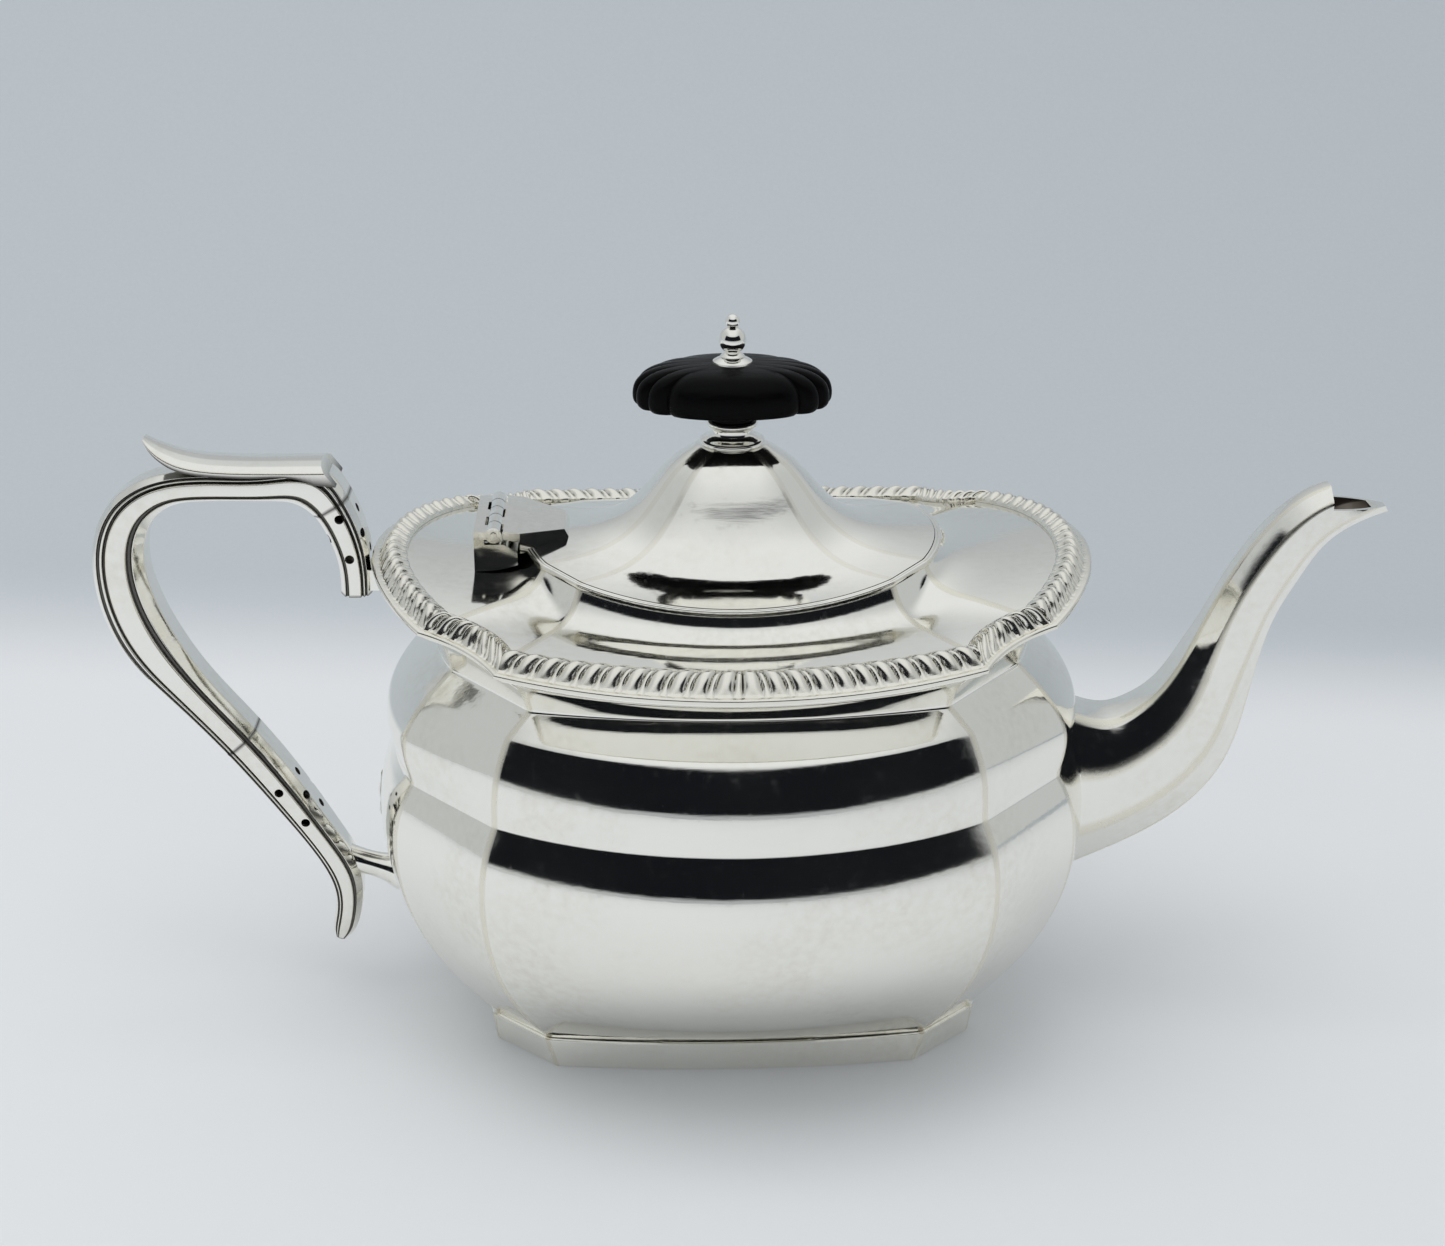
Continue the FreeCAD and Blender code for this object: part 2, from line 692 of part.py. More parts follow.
def knuckle(index, root):
    """Hinge tube number index, with a web out to the plate or leaf that starts at root."""
    low = -half_hinge + index * (knuckle_length + knuckle_gap)
    tube = Part.makeCylinder(knuckle_radius, knuckle_length, Vec(hinge_x, low, hinge_z), Vec(0, 1, 0))
    web = box(Vec(min(root, hinge_x), low, hinge_z - web_half_height),
              Vec(max(root, hinge_x), low + knuckle_length, hinge_z + web_half_height))
    return tube.fuse(web).cut(pin_hole)


shoulder_floor = size("neck_height")
below_shoulder = block(
    [flattened(rim_top, shoulder_floor), rim_top], [rim_top, border_inner],
    [border_inner, trough, cove, lip], [lip, flattened(lip, size("lid_top_height"))])
block_top = hinge_z - knuckle_radius - knuckle_gap
block_right = -size("lid_edge_half_length") - 2 * knuckle_gap
plate_top = hinge_z + web_half_height
hinge_support = slab([
    (plate_left, shoulder_floor), (plate_left, plate_top), (plate_right, plate_top),
    (plate_right, block_top), (leaf_left, block_top), (block_right, block_top - size("leaf_drop")),
    (block_right, shoulder_floor)], half_hinge)
piece("hinge_block", hinge_support.cut(below_shoulder))
for index, place in ((0, "front"), (2, "middle"), (4, "back")):
    piece(f"hinge_knuckle_{place}", knuckle(index, plate_right))

hinge_pin = doc.addObject("Part::Cylinder", "pin")
hinge_pin.Placement = FreeCAD.Placement(Vec(), FreeCAD.Rotation(Vec(1, 0, 0), -90))
for setting, text in (("Radius", "pin_radius"), ("Height", "hinge_width + 2 * pin_overhang"),
                      ("Placement.Base.x", "-hinge_reach"),
                      ("Placement.Base.y", "-hinge_width / 2 - pin_overhang"),
                      ("Placement.Base.z", "hinge_height")):
    hinge_pin.setExpression(setting, bound(text))
node(hinge_pin, "hinge_pin")

below_lid = block([flattened(lid_edge, shoulder_floor), lid_edge], [lid_edge, lid_brim], lid_rise)
leaf_right = hinge_x + knuckle_radius + size("leaf_reach")
leaf_under = hinge_z - web_half_height
leaf_sunk = size("lid_edge_end_height") - size("lid_edge_sheet")
lid_end = -size("lid_edge_half_length")
half_tip = size("leaf_tip_width") / 2
leaf_tip = leaf_right + size("leaf_sheet")
leaf_side = slab([
    (leaf_left, plate_top), (leaf_right, plate_top - size("leaf_drop")), (leaf_tip, leaf_sunk),
    (lid_end, leaf_sunk), (lid_end, leaf_under - size("leaf_sheet") / 2),
    (leaf_left, leaf_under)], half_hinge)
leaf_corners = [Vec(x, y, shoulder_floor) for x, y in (
    (leaf_left, -half_hinge), (lid_end, -half_hinge), (leaf_tip, -half_tip),
    (leaf_tip, half_tip), (lid_end, half_hinge), (leaf_left, half_hinge))]
leaf_plan = Part.Face(Part.makePolygon(leaf_corners + leaf_corners[:1])).extrude(Vec(0, 0, hinge_z))
leaf = leaf_side.common(leaf_plan).cut(below_lid)
piece("hinge_lid_leaf", leaf.fuse([knuckle(1, leaf_left), knuckle(3, leaf_left)]))

# Spout


def station(run, name, root, direction):
    """Upper and lower points and half width at a station; reach counts from root along direction."""
    key = f"{run}_{name}_"
    upper = Vec(direction * (root + size(key + "upper_reach")), 0, size(key + "upper_height"))
    lower = Vec(direction * (root + size(key + "lower_reach")), 0, size(key + "lower_height"))
    return upper, lower, size(key + "half_width")


def facetted(upper, lower, half_width, facet, wall=0):
    """Eight-sided section between an upper and a lower point, less a wall."""
    middle = (upper + lower) / 2
    rise = upper - middle
    rise = rise * (1 - wall / rise.Length)
    across = Vec(0, half_width - wall, 0)
    steps = ((facet, 1), (1, facet), (1, -facet), (facet, -1),
             (-facet, -1), (-1, -facet), (-1, facet), (-facet, 1))
    corners = [middle + across * sideways + rise * up for sideways, up in steps]
    return Part.makePolygon(corners + corners[:1])


def tube(sections, facet, wall=0):
    return Part.makeLoft([facetted(*section, facet, wall) for section in sections], True, False)


belly_end = size("belly_half_length")
spout_sections = [station("spout", name, belly_end, 1) for name in SPOUT]
spout_outer = tube(spout_sections, size("spout_facet"))
mouth, beak = spout_sections[-2:]
# The beak is a trough for this share of its length.
BEAK_HOLLOW = 0.75
trough_end = [start + (stop - start) * BEAK_HOLLOW for start, stop in zip(mouth, beak)]
spout_bore = tube(spout_sections[:-1], size("spout_facet"), size("spout_wall"))
beak_trough = tube([mouth, trough_end], size("spout_facet"), size("spout_wall"))
mouth_x = belly_end + size("mouth_cut_reach")
mouth_z = size("mouth_cut_height")
mouth_high = beak[0].z + size("spout_mouth_half_width")
mouth_far = beak[1].x + size("spout_mouth_half_width")
mouth_cut = slab([
    (mouth_x, mouth_z), (mouth_x, mouth_high), (mouth_far, mouth_high),
    (mouth_far, mouth_z - size("mouth_cut_fall"))], size("belly_half_width"))
piece("spout", spout_outer.cut([spout_bore, beak_trough, body_outer, mouth_cut]))

# Handle

rim_end = size("rim_half_length") + size("border_overhang")
handle_root = max(belly_end, rim_end + size("handle_rim_gap"))
handle_names = list(HANDLE)
handle_sections = {name: station("handle", name, handle_root, -1) for name in handle_names}


def stretch(first, last):
    """Sections of the handle from one station to another."""
    names = handle_names[handle_names.index(first):handle_names.index(last) + 1]
    return [handle_sections[name] for name in names]


def vents(name):
    """Three rows of holes round a station: on the faces, on the edges between them, and on the faces."""
    upper, lower, half_width = handle_sections[name]
    middle = (upper + lower) / 2
    through = upper - lower
    reach = through.Length + half_width
    through.normalize()
    across = Vec(0, 1, 0)
    along = through.cross(across)
    drills = []
    for row in (-1, 0, 1):
        place = middle + along * (row * size("vent_pitch"))
        axes = [through + across, through - across] if row == 0 else [through, across]
        for axis in axes:
            axis = Vec(axis)
            axis.normalize()
            drills.append(Part.makeCylinder(size("vent_radius"), 2 * reach, place - axis * reach, axis))
    return drills


facet = size("handle_facet")
wall = size("handle_wall")
upper_run = stretch("curl", "upper_seam")
grip_run = stretch("upper_seam", "lower_seam")
lower_run = stretch("lower_seam", "tail_tip")
upper_outer = tube(upper_run, facet)
grip_outer = tube(grip_run, facet)
lower_outer = tube(lower_run, facet)
piece("handle_upper_vent", upper_outer.cut([tube(upper_run[1:], facet, wall)] + vents("upper_limb")))
piece("handle_grip", grip_outer.cut(tube(grip_run, facet, wall)))
piece("handle_lower_vent", lower_outer.cut([tube(lower_run[:-2], facet, wall)] + vents("lower_limb")))

thumb_x = -handle_root - size("handle_shoulder_upper_reach")
thumb_z = size("handle_thumb_upper_height") + size("thumb_sheet")
thumb_sunk = (size("handle_thumb_upper_height") + size("handle_thumb_lower_height")) / 2
spur_x = -handle_root - size("thumb_spur_reach")
spur_root_x = -handle_root - size("thumb_spur_root")
spur_z = size("handle_thumb_upper_height") + size("thumb_spur_rise")
thumb_strip = slab([
    (thumb_x, thumb_z), (spur_root_x, thumb_z), (spur_x, spur_z), (spur_x, thumb_sunk),
    (thumb_x + size("thumb_sheet"), thumb_sunk)], size("thumb_half_width"))
piece("handle_thumb_plate", thumb_strip.cut(grip_outer))

# Handle joints on the body

stub_low = size("handle_curl_upper_height") + size("upper_stub_rise")
stub_high = stub_low + size("upper_stub_height")
stub_half = size("upper_stub_half_width")
stub_left = -handle_root - size("handle_curl_lower_reach") / 2
upper_stub = box(Vec(stub_left, -stub_half, stub_low),
                 Vec(-size("neck_half_length") / 2, stub_half, stub_high))
piece("handle_upper_stub", upper_stub.cut([body_outer, upper_outer]))

plate_low = size("back_plate_low")
plate_high = size("back_plate_high")
plate_middle = (plate_low + plate_high) / 2
plate_half = size("back_plate_half_width")
plate_corners = [Vec(-size("neck_half_length"), y, z) for y, z in (
    (0, plate_low), (plate_half, plate_middle), (plate_half, plate_high - plate_half), (0, plate_high),
    (-plate_half, plate_high - plate_half), (-plate_half, plate_middle))]
plate_prism = Part.Face(Part.makePolygon(plate_corners + plate_corners[:1])).extrude(Vec(-belly_end, 0, 0))
plate_outer = body_block(-size("back_plate_sheet"))
piece("handle_back_plate", plate_prism.common(plate_outer).cut(body_outer))

outwards = Vec(-1, 0, 0)
stub_start = Vec(-size("neck_half_length"), 0, size("lower_stub_height"))
joint_outer, joint_inner = handle_sections["lower_joint"][:2]
stub_end = (joint_outer.x + joint_inner.x) / 2
stub_rod = Part.makeCylinder(size("lower_stub_radius"), stub_start.x - stub_end, stub_start, outwards)
collar_start = Vec(-handle_root - size("stub_collar_reach"), 0, size("lower_stub_height"))
stub_collar = Part.makeCylinder(
    size("stub_collar_radius"), size("stub_collar_width"), collar_start, outwards)
piece("handle_lower_stub", stub_rod.fuse(stub_collar).cut([plate_outer, lower_outer]))

# Check and write

doc.recompute()
for feature in doc.Objects:
    if "Invalid" in feature.State or "Error" in feature.State:
        raise RuntimeError(f"{feature.Label} failed: {feature.State}")
for feature in nodes:
    shape = feature.Shape
    if shape.isNull() or not shape.isValid() or not shape.Solids:
        raise RuntimeError(f"{feature.Label} has no valid solid")
os.makedirs("parts", exist_ok=True)
for feature in nodes:
    feature.Shape.exportStep(f"parts/{feature.Label}.step")
    print(f"{feature.Label}: {len(feature.Shape.Solids)} solid, {feature.Shape.Volume:.1f} mm3")
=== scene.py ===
# %% [markdown]
# A silver-plated teapot, built as a lesson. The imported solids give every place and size. Each visible
# piece is then made again as a fine mesh, because polished metal shows every flat spot of a coarse one.

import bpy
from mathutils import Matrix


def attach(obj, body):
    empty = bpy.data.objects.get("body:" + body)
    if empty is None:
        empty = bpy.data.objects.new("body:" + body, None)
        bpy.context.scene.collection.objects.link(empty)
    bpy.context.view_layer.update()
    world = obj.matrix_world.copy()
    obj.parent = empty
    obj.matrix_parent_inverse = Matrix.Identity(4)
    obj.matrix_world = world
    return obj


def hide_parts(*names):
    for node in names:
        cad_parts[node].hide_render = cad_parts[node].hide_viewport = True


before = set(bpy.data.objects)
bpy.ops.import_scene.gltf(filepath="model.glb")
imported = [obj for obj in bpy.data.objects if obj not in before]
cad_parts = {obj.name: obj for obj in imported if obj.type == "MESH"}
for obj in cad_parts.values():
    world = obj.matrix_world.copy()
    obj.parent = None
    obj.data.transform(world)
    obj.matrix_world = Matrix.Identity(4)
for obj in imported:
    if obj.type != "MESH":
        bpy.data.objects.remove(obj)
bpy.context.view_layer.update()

# %% [markdown]
# The shapes are worked out in millimetres, as a silversmith's drawing would give them, and turned into
# metres when a mesh is made. NumPy keeps whole rings of points in one array, which is far quicker than
# loops.

# %% Tools and units
import math

import bmesh
import bpy
import numpy as np
from mathutils import Matrix, Vector

MILLIMETRE = 0.001
TINY = 1e-6
scene = bpy.context.scene


def point(x, y, z):
    return np.array((x, y, z), float)


print("one millimetre is", MILLIMETRE, "m")

# %% [markdown]
# The pot is eight-sided at every level, so a level is a plan of eight arcs. One quarter of the plan holds
# it all: the middle of the end, the end's corner, the middle of the canted side, the front's corner and
# the middle of the front. The numbers are those of the solids: half length, half width, front corner
# along, front bow, end corner along, end bow, and the height. A level that sweeps up towards the ends has
# four heights: at the end, the end's corner, the front's corner and the front.

# %% Plans of the levels
LEVELS = {
    "foot_bottom": (55.0, 34.0, 39.5, 2.5, 19.5, 2.0, 0.0),
    "foot_top": (56.2, 35.2, 41.5, 3.0, 21.0, 2.5, 7.3),
    "belly": (78.0, 70.0, 52.7, 16.0, 31.0, 5.6, 55.0),
    "crease": (74.0, 66.0, 49.8, 15.0, 30.0, 5.9, 69.0),
    "lobe": (75.4, 64.8, 49.3, 14.4, 28.8, 5.9, 78.5),
    "ridge": (69.8, 60.8, 46.8, 13.0, 25.6, 5.4, 87.0),
    "neck": (64.0, 51.2, 42.3, 6.0, 23.5, 4.5, 92.0),
    "rim": (75.6, 60.0, 47.8, 8.0, 37.2, 12.2, (108.7, 104.7, 101.6, 99.0)),
    "border_inner": (69.6, 52.5, 45.3, 6.4, 35.2, 12.0, (111.2, 107.8, 104.6, 102.6)),
    "trough": (57.5, 44.0, 38.8, 7.8, 26.9, 8.6, (109.9, 108.2, 104.8, 103.0)),
    "cove": (48.2, 38.6, 34.6, 9.2, 21.0, 5.2, (111.0, 109.8, 107.2, 105.0)),
    "lid_edge": (45.0, 36.0, 32.6, 9.4, 18.8, 4.6, (114.5, 113.6, 112.1, 109.4)),
    "lid_top": (7.6, 6.6, 4.4, 0.8, 3.4, 0.8, 133.6),
}


def plan(level):
    """Quarter outline of a level, as five points."""
    length, width, front_half, front_bow, end_half, end_bow, height = LEVELS[level]
    heights = np.broadcast_to(height, 4)
    end = point(length, 0, heights[0])
    end_corner = point(length - end_bow, end_half, heights[1])
    front_corner = point(front_half, width - front_bow, heights[2])
    front = point(0, width, heights[3])
    return np.array((end, end_corner, (end_corner + front_corner) / 2, front_corner, front))


def raised(quarter, lift):
    return quarter + point(0, 0, lift)


def between(first, second, share, lift=None):
    """Quarter outline part of the way from one to another, with its own share in height."""
    middle = first + (second - first) * share
    if lift is not None:
        middle[:, 2] = first[:, 2] + (second[:, 2] - first[:, 2]) * lift
    return middle


def inset(quarter, distance):
    """Quarter outline moved inwards in plan."""
    before_first = quarter[1] * point(1, -1, 1)
    after_last = quarter[3] * point(-1, 1, 1)
    walk = np.vstack((before_first, quarter, after_last))
    along = np.diff(walk[:, :2], axis=0)
    along /= np.linalg.norm(along, axis=1)[:, None]
    normals = np.stack((-along[:, 1], along[:, 0]), axis=1)
    bisectors = normals[:-1] + normals[1:]
    bisectors /= np.linalg.norm(bisectors, axis=1)[:, None]
    reach = distance / np.sum(bisectors * normals[:-1], axis=1)
    moved = quarter.copy()
    moved[:, :2] += bisectors * reach[:, None]
    return moved


def hollowed(quarter, depth, drop=0.0):
    """Quarter outline with its canted side bowed inwards and dipped by a drop."""
    along = quarter[3] - quarter[1]
    inward = point(-along[1], along[0], 0)
    hollow = quarter.copy()
    hollow[2] += inward / np.linalg.norm(inward) * depth - point(0, 0, drop)
    return hollow


levels = {name: plan(name) for name in LEVELS}
print("levels drawn:", len(levels))

# %% [markdown]
# A ring is the plan walked all round. Sharp corners would look cut from paper, and on real plate the panel
# edges are rounded by polishing, so each corner becomes a short curve of a few points. These few points
# also carry a wear value, which the silver uses to draw the pale worn line along every panel edge.

# %% From plan to ring
SIDE_STEPS = {"end": 24, "cant": 13, "front": 37}
CORNER_STEPS = 5
MOST_MARGIN = 0.3


def arc(start, middle, stop, shares):
    """Points on the arc through three points, or on a line where they are in line."""
    chord = stop - start
    length = np.linalg.norm(chord)
    first = chord / length
    off = middle - start
    lift = off - first * (off @ first)
    height = np.linalg.norm(lift)
    if height < TINY:
        return start + np.outer(shares, chord)
    second = lift / height
    across = off @ first
    centre = (across ** 2 + height ** 2 - length * across) / (2 * height)
    radius = math.hypot(length / 2, centre)
    turn = math.atan2(-centre, -length / 2)
    sweep = math.atan2(-centre, length / 2) - turn
    if sweep > 0:
        sweep -= 2 * math.pi
    angles = turn + sweep * np.asarray(shares)
    along = length / 2 + radius * np.cos(angles)
    up = centre + radius * np.sin(angles)
    return start + np.outer(along, first) + np.outer(up, second)


def sides(quarter):
    """The eight sides of a plan as (kind, start, middle, stop), counter-clockwise from the spout's end."""
    end, end_corner, cant, front_corner, front = quarter

    def put(p, x, y):
        return p * point(x, y, 1)

    found = []
    for x, y in ((1, 1), (-1, -1)):
        found.append(("end", put(end_corner, x, -y), put(end, x, y), put(end_corner, x, y)))
        found.append(("cant", put(end_corner, x, y), put(cant, x, y), put(front_corner, x, y)))
        found.append(("front", put(front_corner, x, y), put(front, x, y), put(front_corner, -x, y)))
        found.append(("cant", put(front_corner, -x, y), put(cant, -x, y), put(end_corner, -x, y)))
    return found


def bend(start, corner, stop, shares):
    """Points, or rows of points, on the rounded corner between start and stop."""
    t = np.reshape(shares, (-1,) + (1,) * np.ndim(start))
    return (1 - t) ** 2 * start + 2 * t * (1 - t) * corner + t ** 2 * stop


def ring(quarter, corner=1.0):
    """Closed ring of points round a plan, with corners rounded over a length."""
    runs = []
    for kind, start, middle, stop in sides(quarter):
        length = max(np.linalg.norm(stop - start), TINY)
        margin = min(corner / length, MOST_MARGIN)
        shares = np.linspace(margin, 1 - margin, SIDE_STEPS[kind])
        runs.append((arc(start, middle, stop, shares), stop))
    places = []
    shares = np.linspace(0, 1, CORNER_STEPS + 2)[1:-1]
    for index, (run, corner_point) in enumerate(runs):
        following = runs[(index + 1) % len(runs)][0]
        places.append(run)
        places.append(bend(run[-1], corner_point, following[0], shares))
    return np.vstack(places)


ring_wear = np.concatenate([
    np.concatenate((np.zeros(SIDE_STEPS[kind]), np.ones(CORNER_STEPS)))
    for kind in ("end", "cant", "front", "cant") * 2])
print("points round a ring:", len(ring_wear))

# %% [markdown]
# Materials are node trees. This small helper adds a node, sets its values and links its inputs, so that a
# tree reads from top to bottom like a recipe.

# %% Node helper
MIX_FACTOR, MIX_FIRST, MIX_SECOND, MIX_COLOUR = 0, 6, 7, 2


def add(tree, kind, inputs=None, **settings):
    """Node with its settings made and its inputs set or linked."""
    node = tree.nodes.new("ShaderNode" + kind)
    for name, value in settings.items():
        setattr(node, name, value)
    for name, value in (inputs or {}).items():
        socket = node.inputs[name]
        if isinstance(value, bpy.types.NodeSocket):
            tree.links.new(value, socket)
        else:
            socket.default_value = value
    return node


def blend(tree, factor, first, second):
    """Colour between two colours."""
    sockets = {MIX_FACTOR: factor, MIX_FIRST: first, MIX_SECOND: second}
    return add(tree, "Mix", sockets, data_type="RGBA").outputs[MIX_COLOUR]


def ramp(tree, value, low, high, start=0.0, stop=1.0):
    """Value eased from start to stop while the input goes from low to high."""
    limits = {"From Min": low, "From Max": high, "To Min": start, "To Max": stop}
    node = add(tree, "MapRange", {"Value": value, **limits}, interpolation_type="SMOOTHSTEP")
    return node.outputs["Result"]


def times(tree, first, second):
    return add(tree, "Math", {0: first, 1: second}, operation="MULTIPLY").outputs[0]


def plus(tree, first, second):
    return add(tree, "Math", {0: first, 1: second}, operation="ADD").outputs[0]


def noise(tree, place, scale, detail):
    """Cloudy pattern; a larger scale gives smaller clouds."""
    return add(tree, "TexNoise", {"Vector": place, "Scale": scale, "Detail": detail}).outputs["Fac"]


def new_group(name, outputs):
    tree = bpy.data.node_groups.new(name, "ShaderNodeTree")
    for title, kind in outputs:
        tree.interface.new_socket(title, in_out="OUTPUT", socket_type="NodeSocket" + kind)
    return tree


print("node helper ready")

# %% [markdown]
# Old plate is bright but never perfect. A group gives the silver its look: a faint yellow film in clouds,
# tiny specks, fine wiping scratches, a cream line where the edges are worn and hold old polish, and black
# grime down in the grooves. The same black is painted as shade where the thumb strip lies on the handle.
# The worn, grimy and shaded places come with the meshes, as values on their points. The group gives out
# colour, roughness and height, and the material decides how to use them.

# %% Shared look of the plate
CLEAN, FILMED = (0.935, 0.923, 0.868, 1), (0.82, 0.795, 0.72, 1)
# The black is old polish in grooves and seams, and also painted shade under the thumb strip.
WORN_EDGE, OLD_POLISH_AND_SHADE = (0.82, 0.78, 0.66, 1), (0.07, 0.066, 0.06, 1)
WORN_SHARE, POLISH_AND_SHADE_SHARE = 0.7, 0.9
WORN_DULLS, POLISH_DULLS = 0.2, 0.35
WAVES, SCRATCHES = 0.6, 0.03
plate = new_group("old_plate", (("Colour", "Color"), ("Roughness", "Float"), ("Height", "Float")))
place = add(plate, "TexCoord").outputs["Object"]
cloud = noise(plate, place, 34.0, 3.0)
speck = noise(plate, place, 520.0, 2.0)
stroke = add(plate, "Mapping", {
    "Vector": place, "Rotation": (0.2, 0.1, 0.5), "Scale": (70.0, 900.0, 900.0)})
scratch = noise(plate, stroke.outputs[0], 1.0, 3.0)
worn = add(plate, "Attribute", attribute_name="edge_wear").outputs["Fac"]
# This value darkens old polish in hollows, and paints the shade under the thumb strip.
grime_and_shade = add(plate, "Attribute", attribute_name="grime_and_shade").outputs["Fac"]
film = times(plate, ramp(plate, cloud, 0.35, 0.8), ramp(plate, speck, 0.2, 0.9))
clean = blend(plate, film, CLEAN, FILMED)
edged = blend(plate, times(plate, worn, WORN_SHARE), clean, WORN_EDGE)
colour = blend(plate, times(plate, grime_and_shade, POLISH_AND_SHADE_SHARE), edged, OLD_POLISH_AND_SHADE)
smudge = plus(plate, ramp(plate, cloud, 0.3, 0.75, 0.05, 0.1), ramp(plate, speck, 0.55, 0.75, 0.0, 0.06))
marked = plus(plate, times(plate, worn, WORN_DULLS), times(plate, grime_and_shade, POLISH_DULLS))
rough = plus(plate, smudge, marked)
height = plus(plate, times(plate, cloud, WAVES), times(plate, scratch, SCRATCHES))
out = plate.nodes.new("NodeGroupOutput")
for title, value in (("Colour", colour), ("Roughness", rough), ("Height", height)):
    plate.links.new(value, out.inputs[title])
print("nodes in the plate group:", len(plate.nodes))

# %% [markdown]
# The outside wears that group as polished metal. The inside is the same metal, but tea has stained it
# brown and dull, so it has clouds of its own, and its colour is darker still as painted shade for the dim
# inside of pot and spout. The knob is a black hard stuff with a satin polish: it is not a metal, and its
# grain shows mostly in the gloss.

# %% Silver and knob materials
# Tea-brown colours of the inside, made darker than the stain alone as painted shade of the dim inside.
TEA_AND_SHADE, DARK_TEA_AND_SHADE = (0.26, 0.23, 0.19, 1), (0.12, 0.1, 0.08, 1)
BLACK, BLACK_GRAIN = (0.0015, 0.0016, 0.0018, 1), (0.004, 0.004, 0.0045, 1)


def new_material(name):
    material = bpy.data.materials.new(name)
    material.use_nodes = True
    material.node_tree.nodes.clear()
    return material, material.node_tree


def surface(tree, inputs):
    """Principled shader as the surface of a material."""
    shader = add(tree, "BsdfPrincipled", inputs)
    result = add(tree, "OutputMaterial")
    tree.links.new(shader.outputs[0], result.inputs["Surface"])


silver, tree = new_material("polished_silver")
look = add(tree, "Group", node_tree=plate)
bump = add(tree, "Bump", {"Height": look.outputs["Height"], "Strength": 0.4, "Distance": 0.0007})
surface(tree, {
    "Base Color": look.outputs["Colour"], "Roughness": look.outputs["Roughness"], "Metallic": 1.0,
    "Normal": bump.outputs[0]})

stained_and_shaded, tree = new_material("tea_stained_shaded_silver")
tide = noise(tree, add(tree, "TexCoord").outputs["Object"], 90.0, 5.0)
surface(tree, {
    "Base Color": blend(tree, ramp(tree, tide, 0.35, 0.65), TEA_AND_SHADE, DARK_TEA_AND_SHADE),
    "Roughness": ramp(tree, tide, 0.3, 0.7, 0.3, 0.5), "Metallic": 0.9})

black, tree = new_material("black_knob")
along_grain = add(tree, "Mapping", {
    "Vector": add(tree, "TexCoord").outputs["Object"], "Scale": (120.0, 900.0, 900.0)})
grain = noise(tree, along_grain.outputs[0], 1.0, 3.0)
bump = add(tree, "Bump", {"Height": grain, "Strength": 0.12, "Distance": 0.0002})
surface(tree, {
    "Base Color": blend(tree, grain, BLACK, BLACK_GRAIN), "Specular IOR Level": 0.05,
    "Roughness": ramp(tree, grain, 0.3, 0.7, 0.26, 0.4), "Normal": bump.outputs[0]})
print("materials:", silver.name, stained_and_shaded.name, black.name)

# %% [markdown]
# Up the side, rings follow each other on a smooth curve through the drawn levels. A natural cubic spline
# does what a silversmith's template does: it passes through every level without a bump. Where two curves
# meet in a ridge or a crease, the join is rounded by a short bend, just like the corners.

# %% From rings to rows
JOIN_SHARES = (0.25, 0.5, 0.75)


def gaps(keys):
    """Mean distance from each array of points to the next."""
    return np.array([np.mean(np.linalg.norm(b - a, axis=-1)) for a, b in zip(keys, keys[1:])])


def spline(keys, shares):
    """Natural cubic spline through arrays of points, spaced by their mean distances."""
    keys = np.asarray(keys)
    count = len(keys)
    flat = keys.reshape(count, -1)
    steps = gaps(keys)
    knots = np.concatenate(((0,), np.cumsum(steps)))
    matrix = np.eye(count)
    right = np.zeros_like(flat)
    for i in range(1, count - 1):
        matrix[i, i - 1:i + 2] = steps[i - 1], 2 * (steps[i - 1] + steps[i]), steps[i]
        right[i] = 6 * ((flat[i + 1] - flat[i]) / steps[i] - (flat[i] - flat[i - 1]) / steps[i - 1])
    curve = np.linalg.solve(matrix, right)
    at = np.asarray(shares) * knots[-1]
    index = np.clip(np.searchsorted(knots, at) - 1, 0, count - 2)
    step = steps[index][:, None]
    low = (knots[index + 1] - at)[:, None]
    high = (at - knots[index])[:, None]
    made = (curve[index] * low ** 3 + curve[index + 1] * high ** 3) / (6 * step)
    made += (flat[index] / step - curve[index] * step / 6) * low
    made += (flat[index + 1] / step - curve[index + 1] * step / 6) * high
    return made.reshape((len(at),) + keys.shape[1:])


def rows_through(stretches, steps, soft):
    """Rows of rings along stretches of quarter outlines, with their joins rounded over a length."""
    pieces = []
    last = len(stretches) - 1
    for number, (stretch, count) in enumerate(zip(stretches, steps)):
        keys = np.array([ring(quarter) for quarter in stretch])
        margin = min(soft / np.sum(gaps(keys)), MOST_MARGIN)
        first = margin if number > 0 else 0
        stop = 1 - margin if number < last else 1
        pieces.append((spline(keys, np.linspace(first, stop, count)), keys[-1]))
    rows = []
    for number, (piece, joint) in enumerate(pieces):
        rows.extend(piece)
        if number < last:
            rows.extend(bend(piece[-1], joint, pieces[number + 1][0][0], JOIN_SHARES))
    return rows


print("points to round a join:", len(JOIN_SHARES))

# %% [markdown]
# Neighbouring rows are joined by four-sided faces. A piece can close on itself like a tyre or get a flat
# face at each end, so that every mesh is closed. Shading is smooth, except where faces meet steeply. A cut
# is a boolean that is applied at once, so no cutting tool stays in the scene.

# %% From rows to meshes
SMOOTH_ANGLE = 38
SAME_PLACE = 2e-6


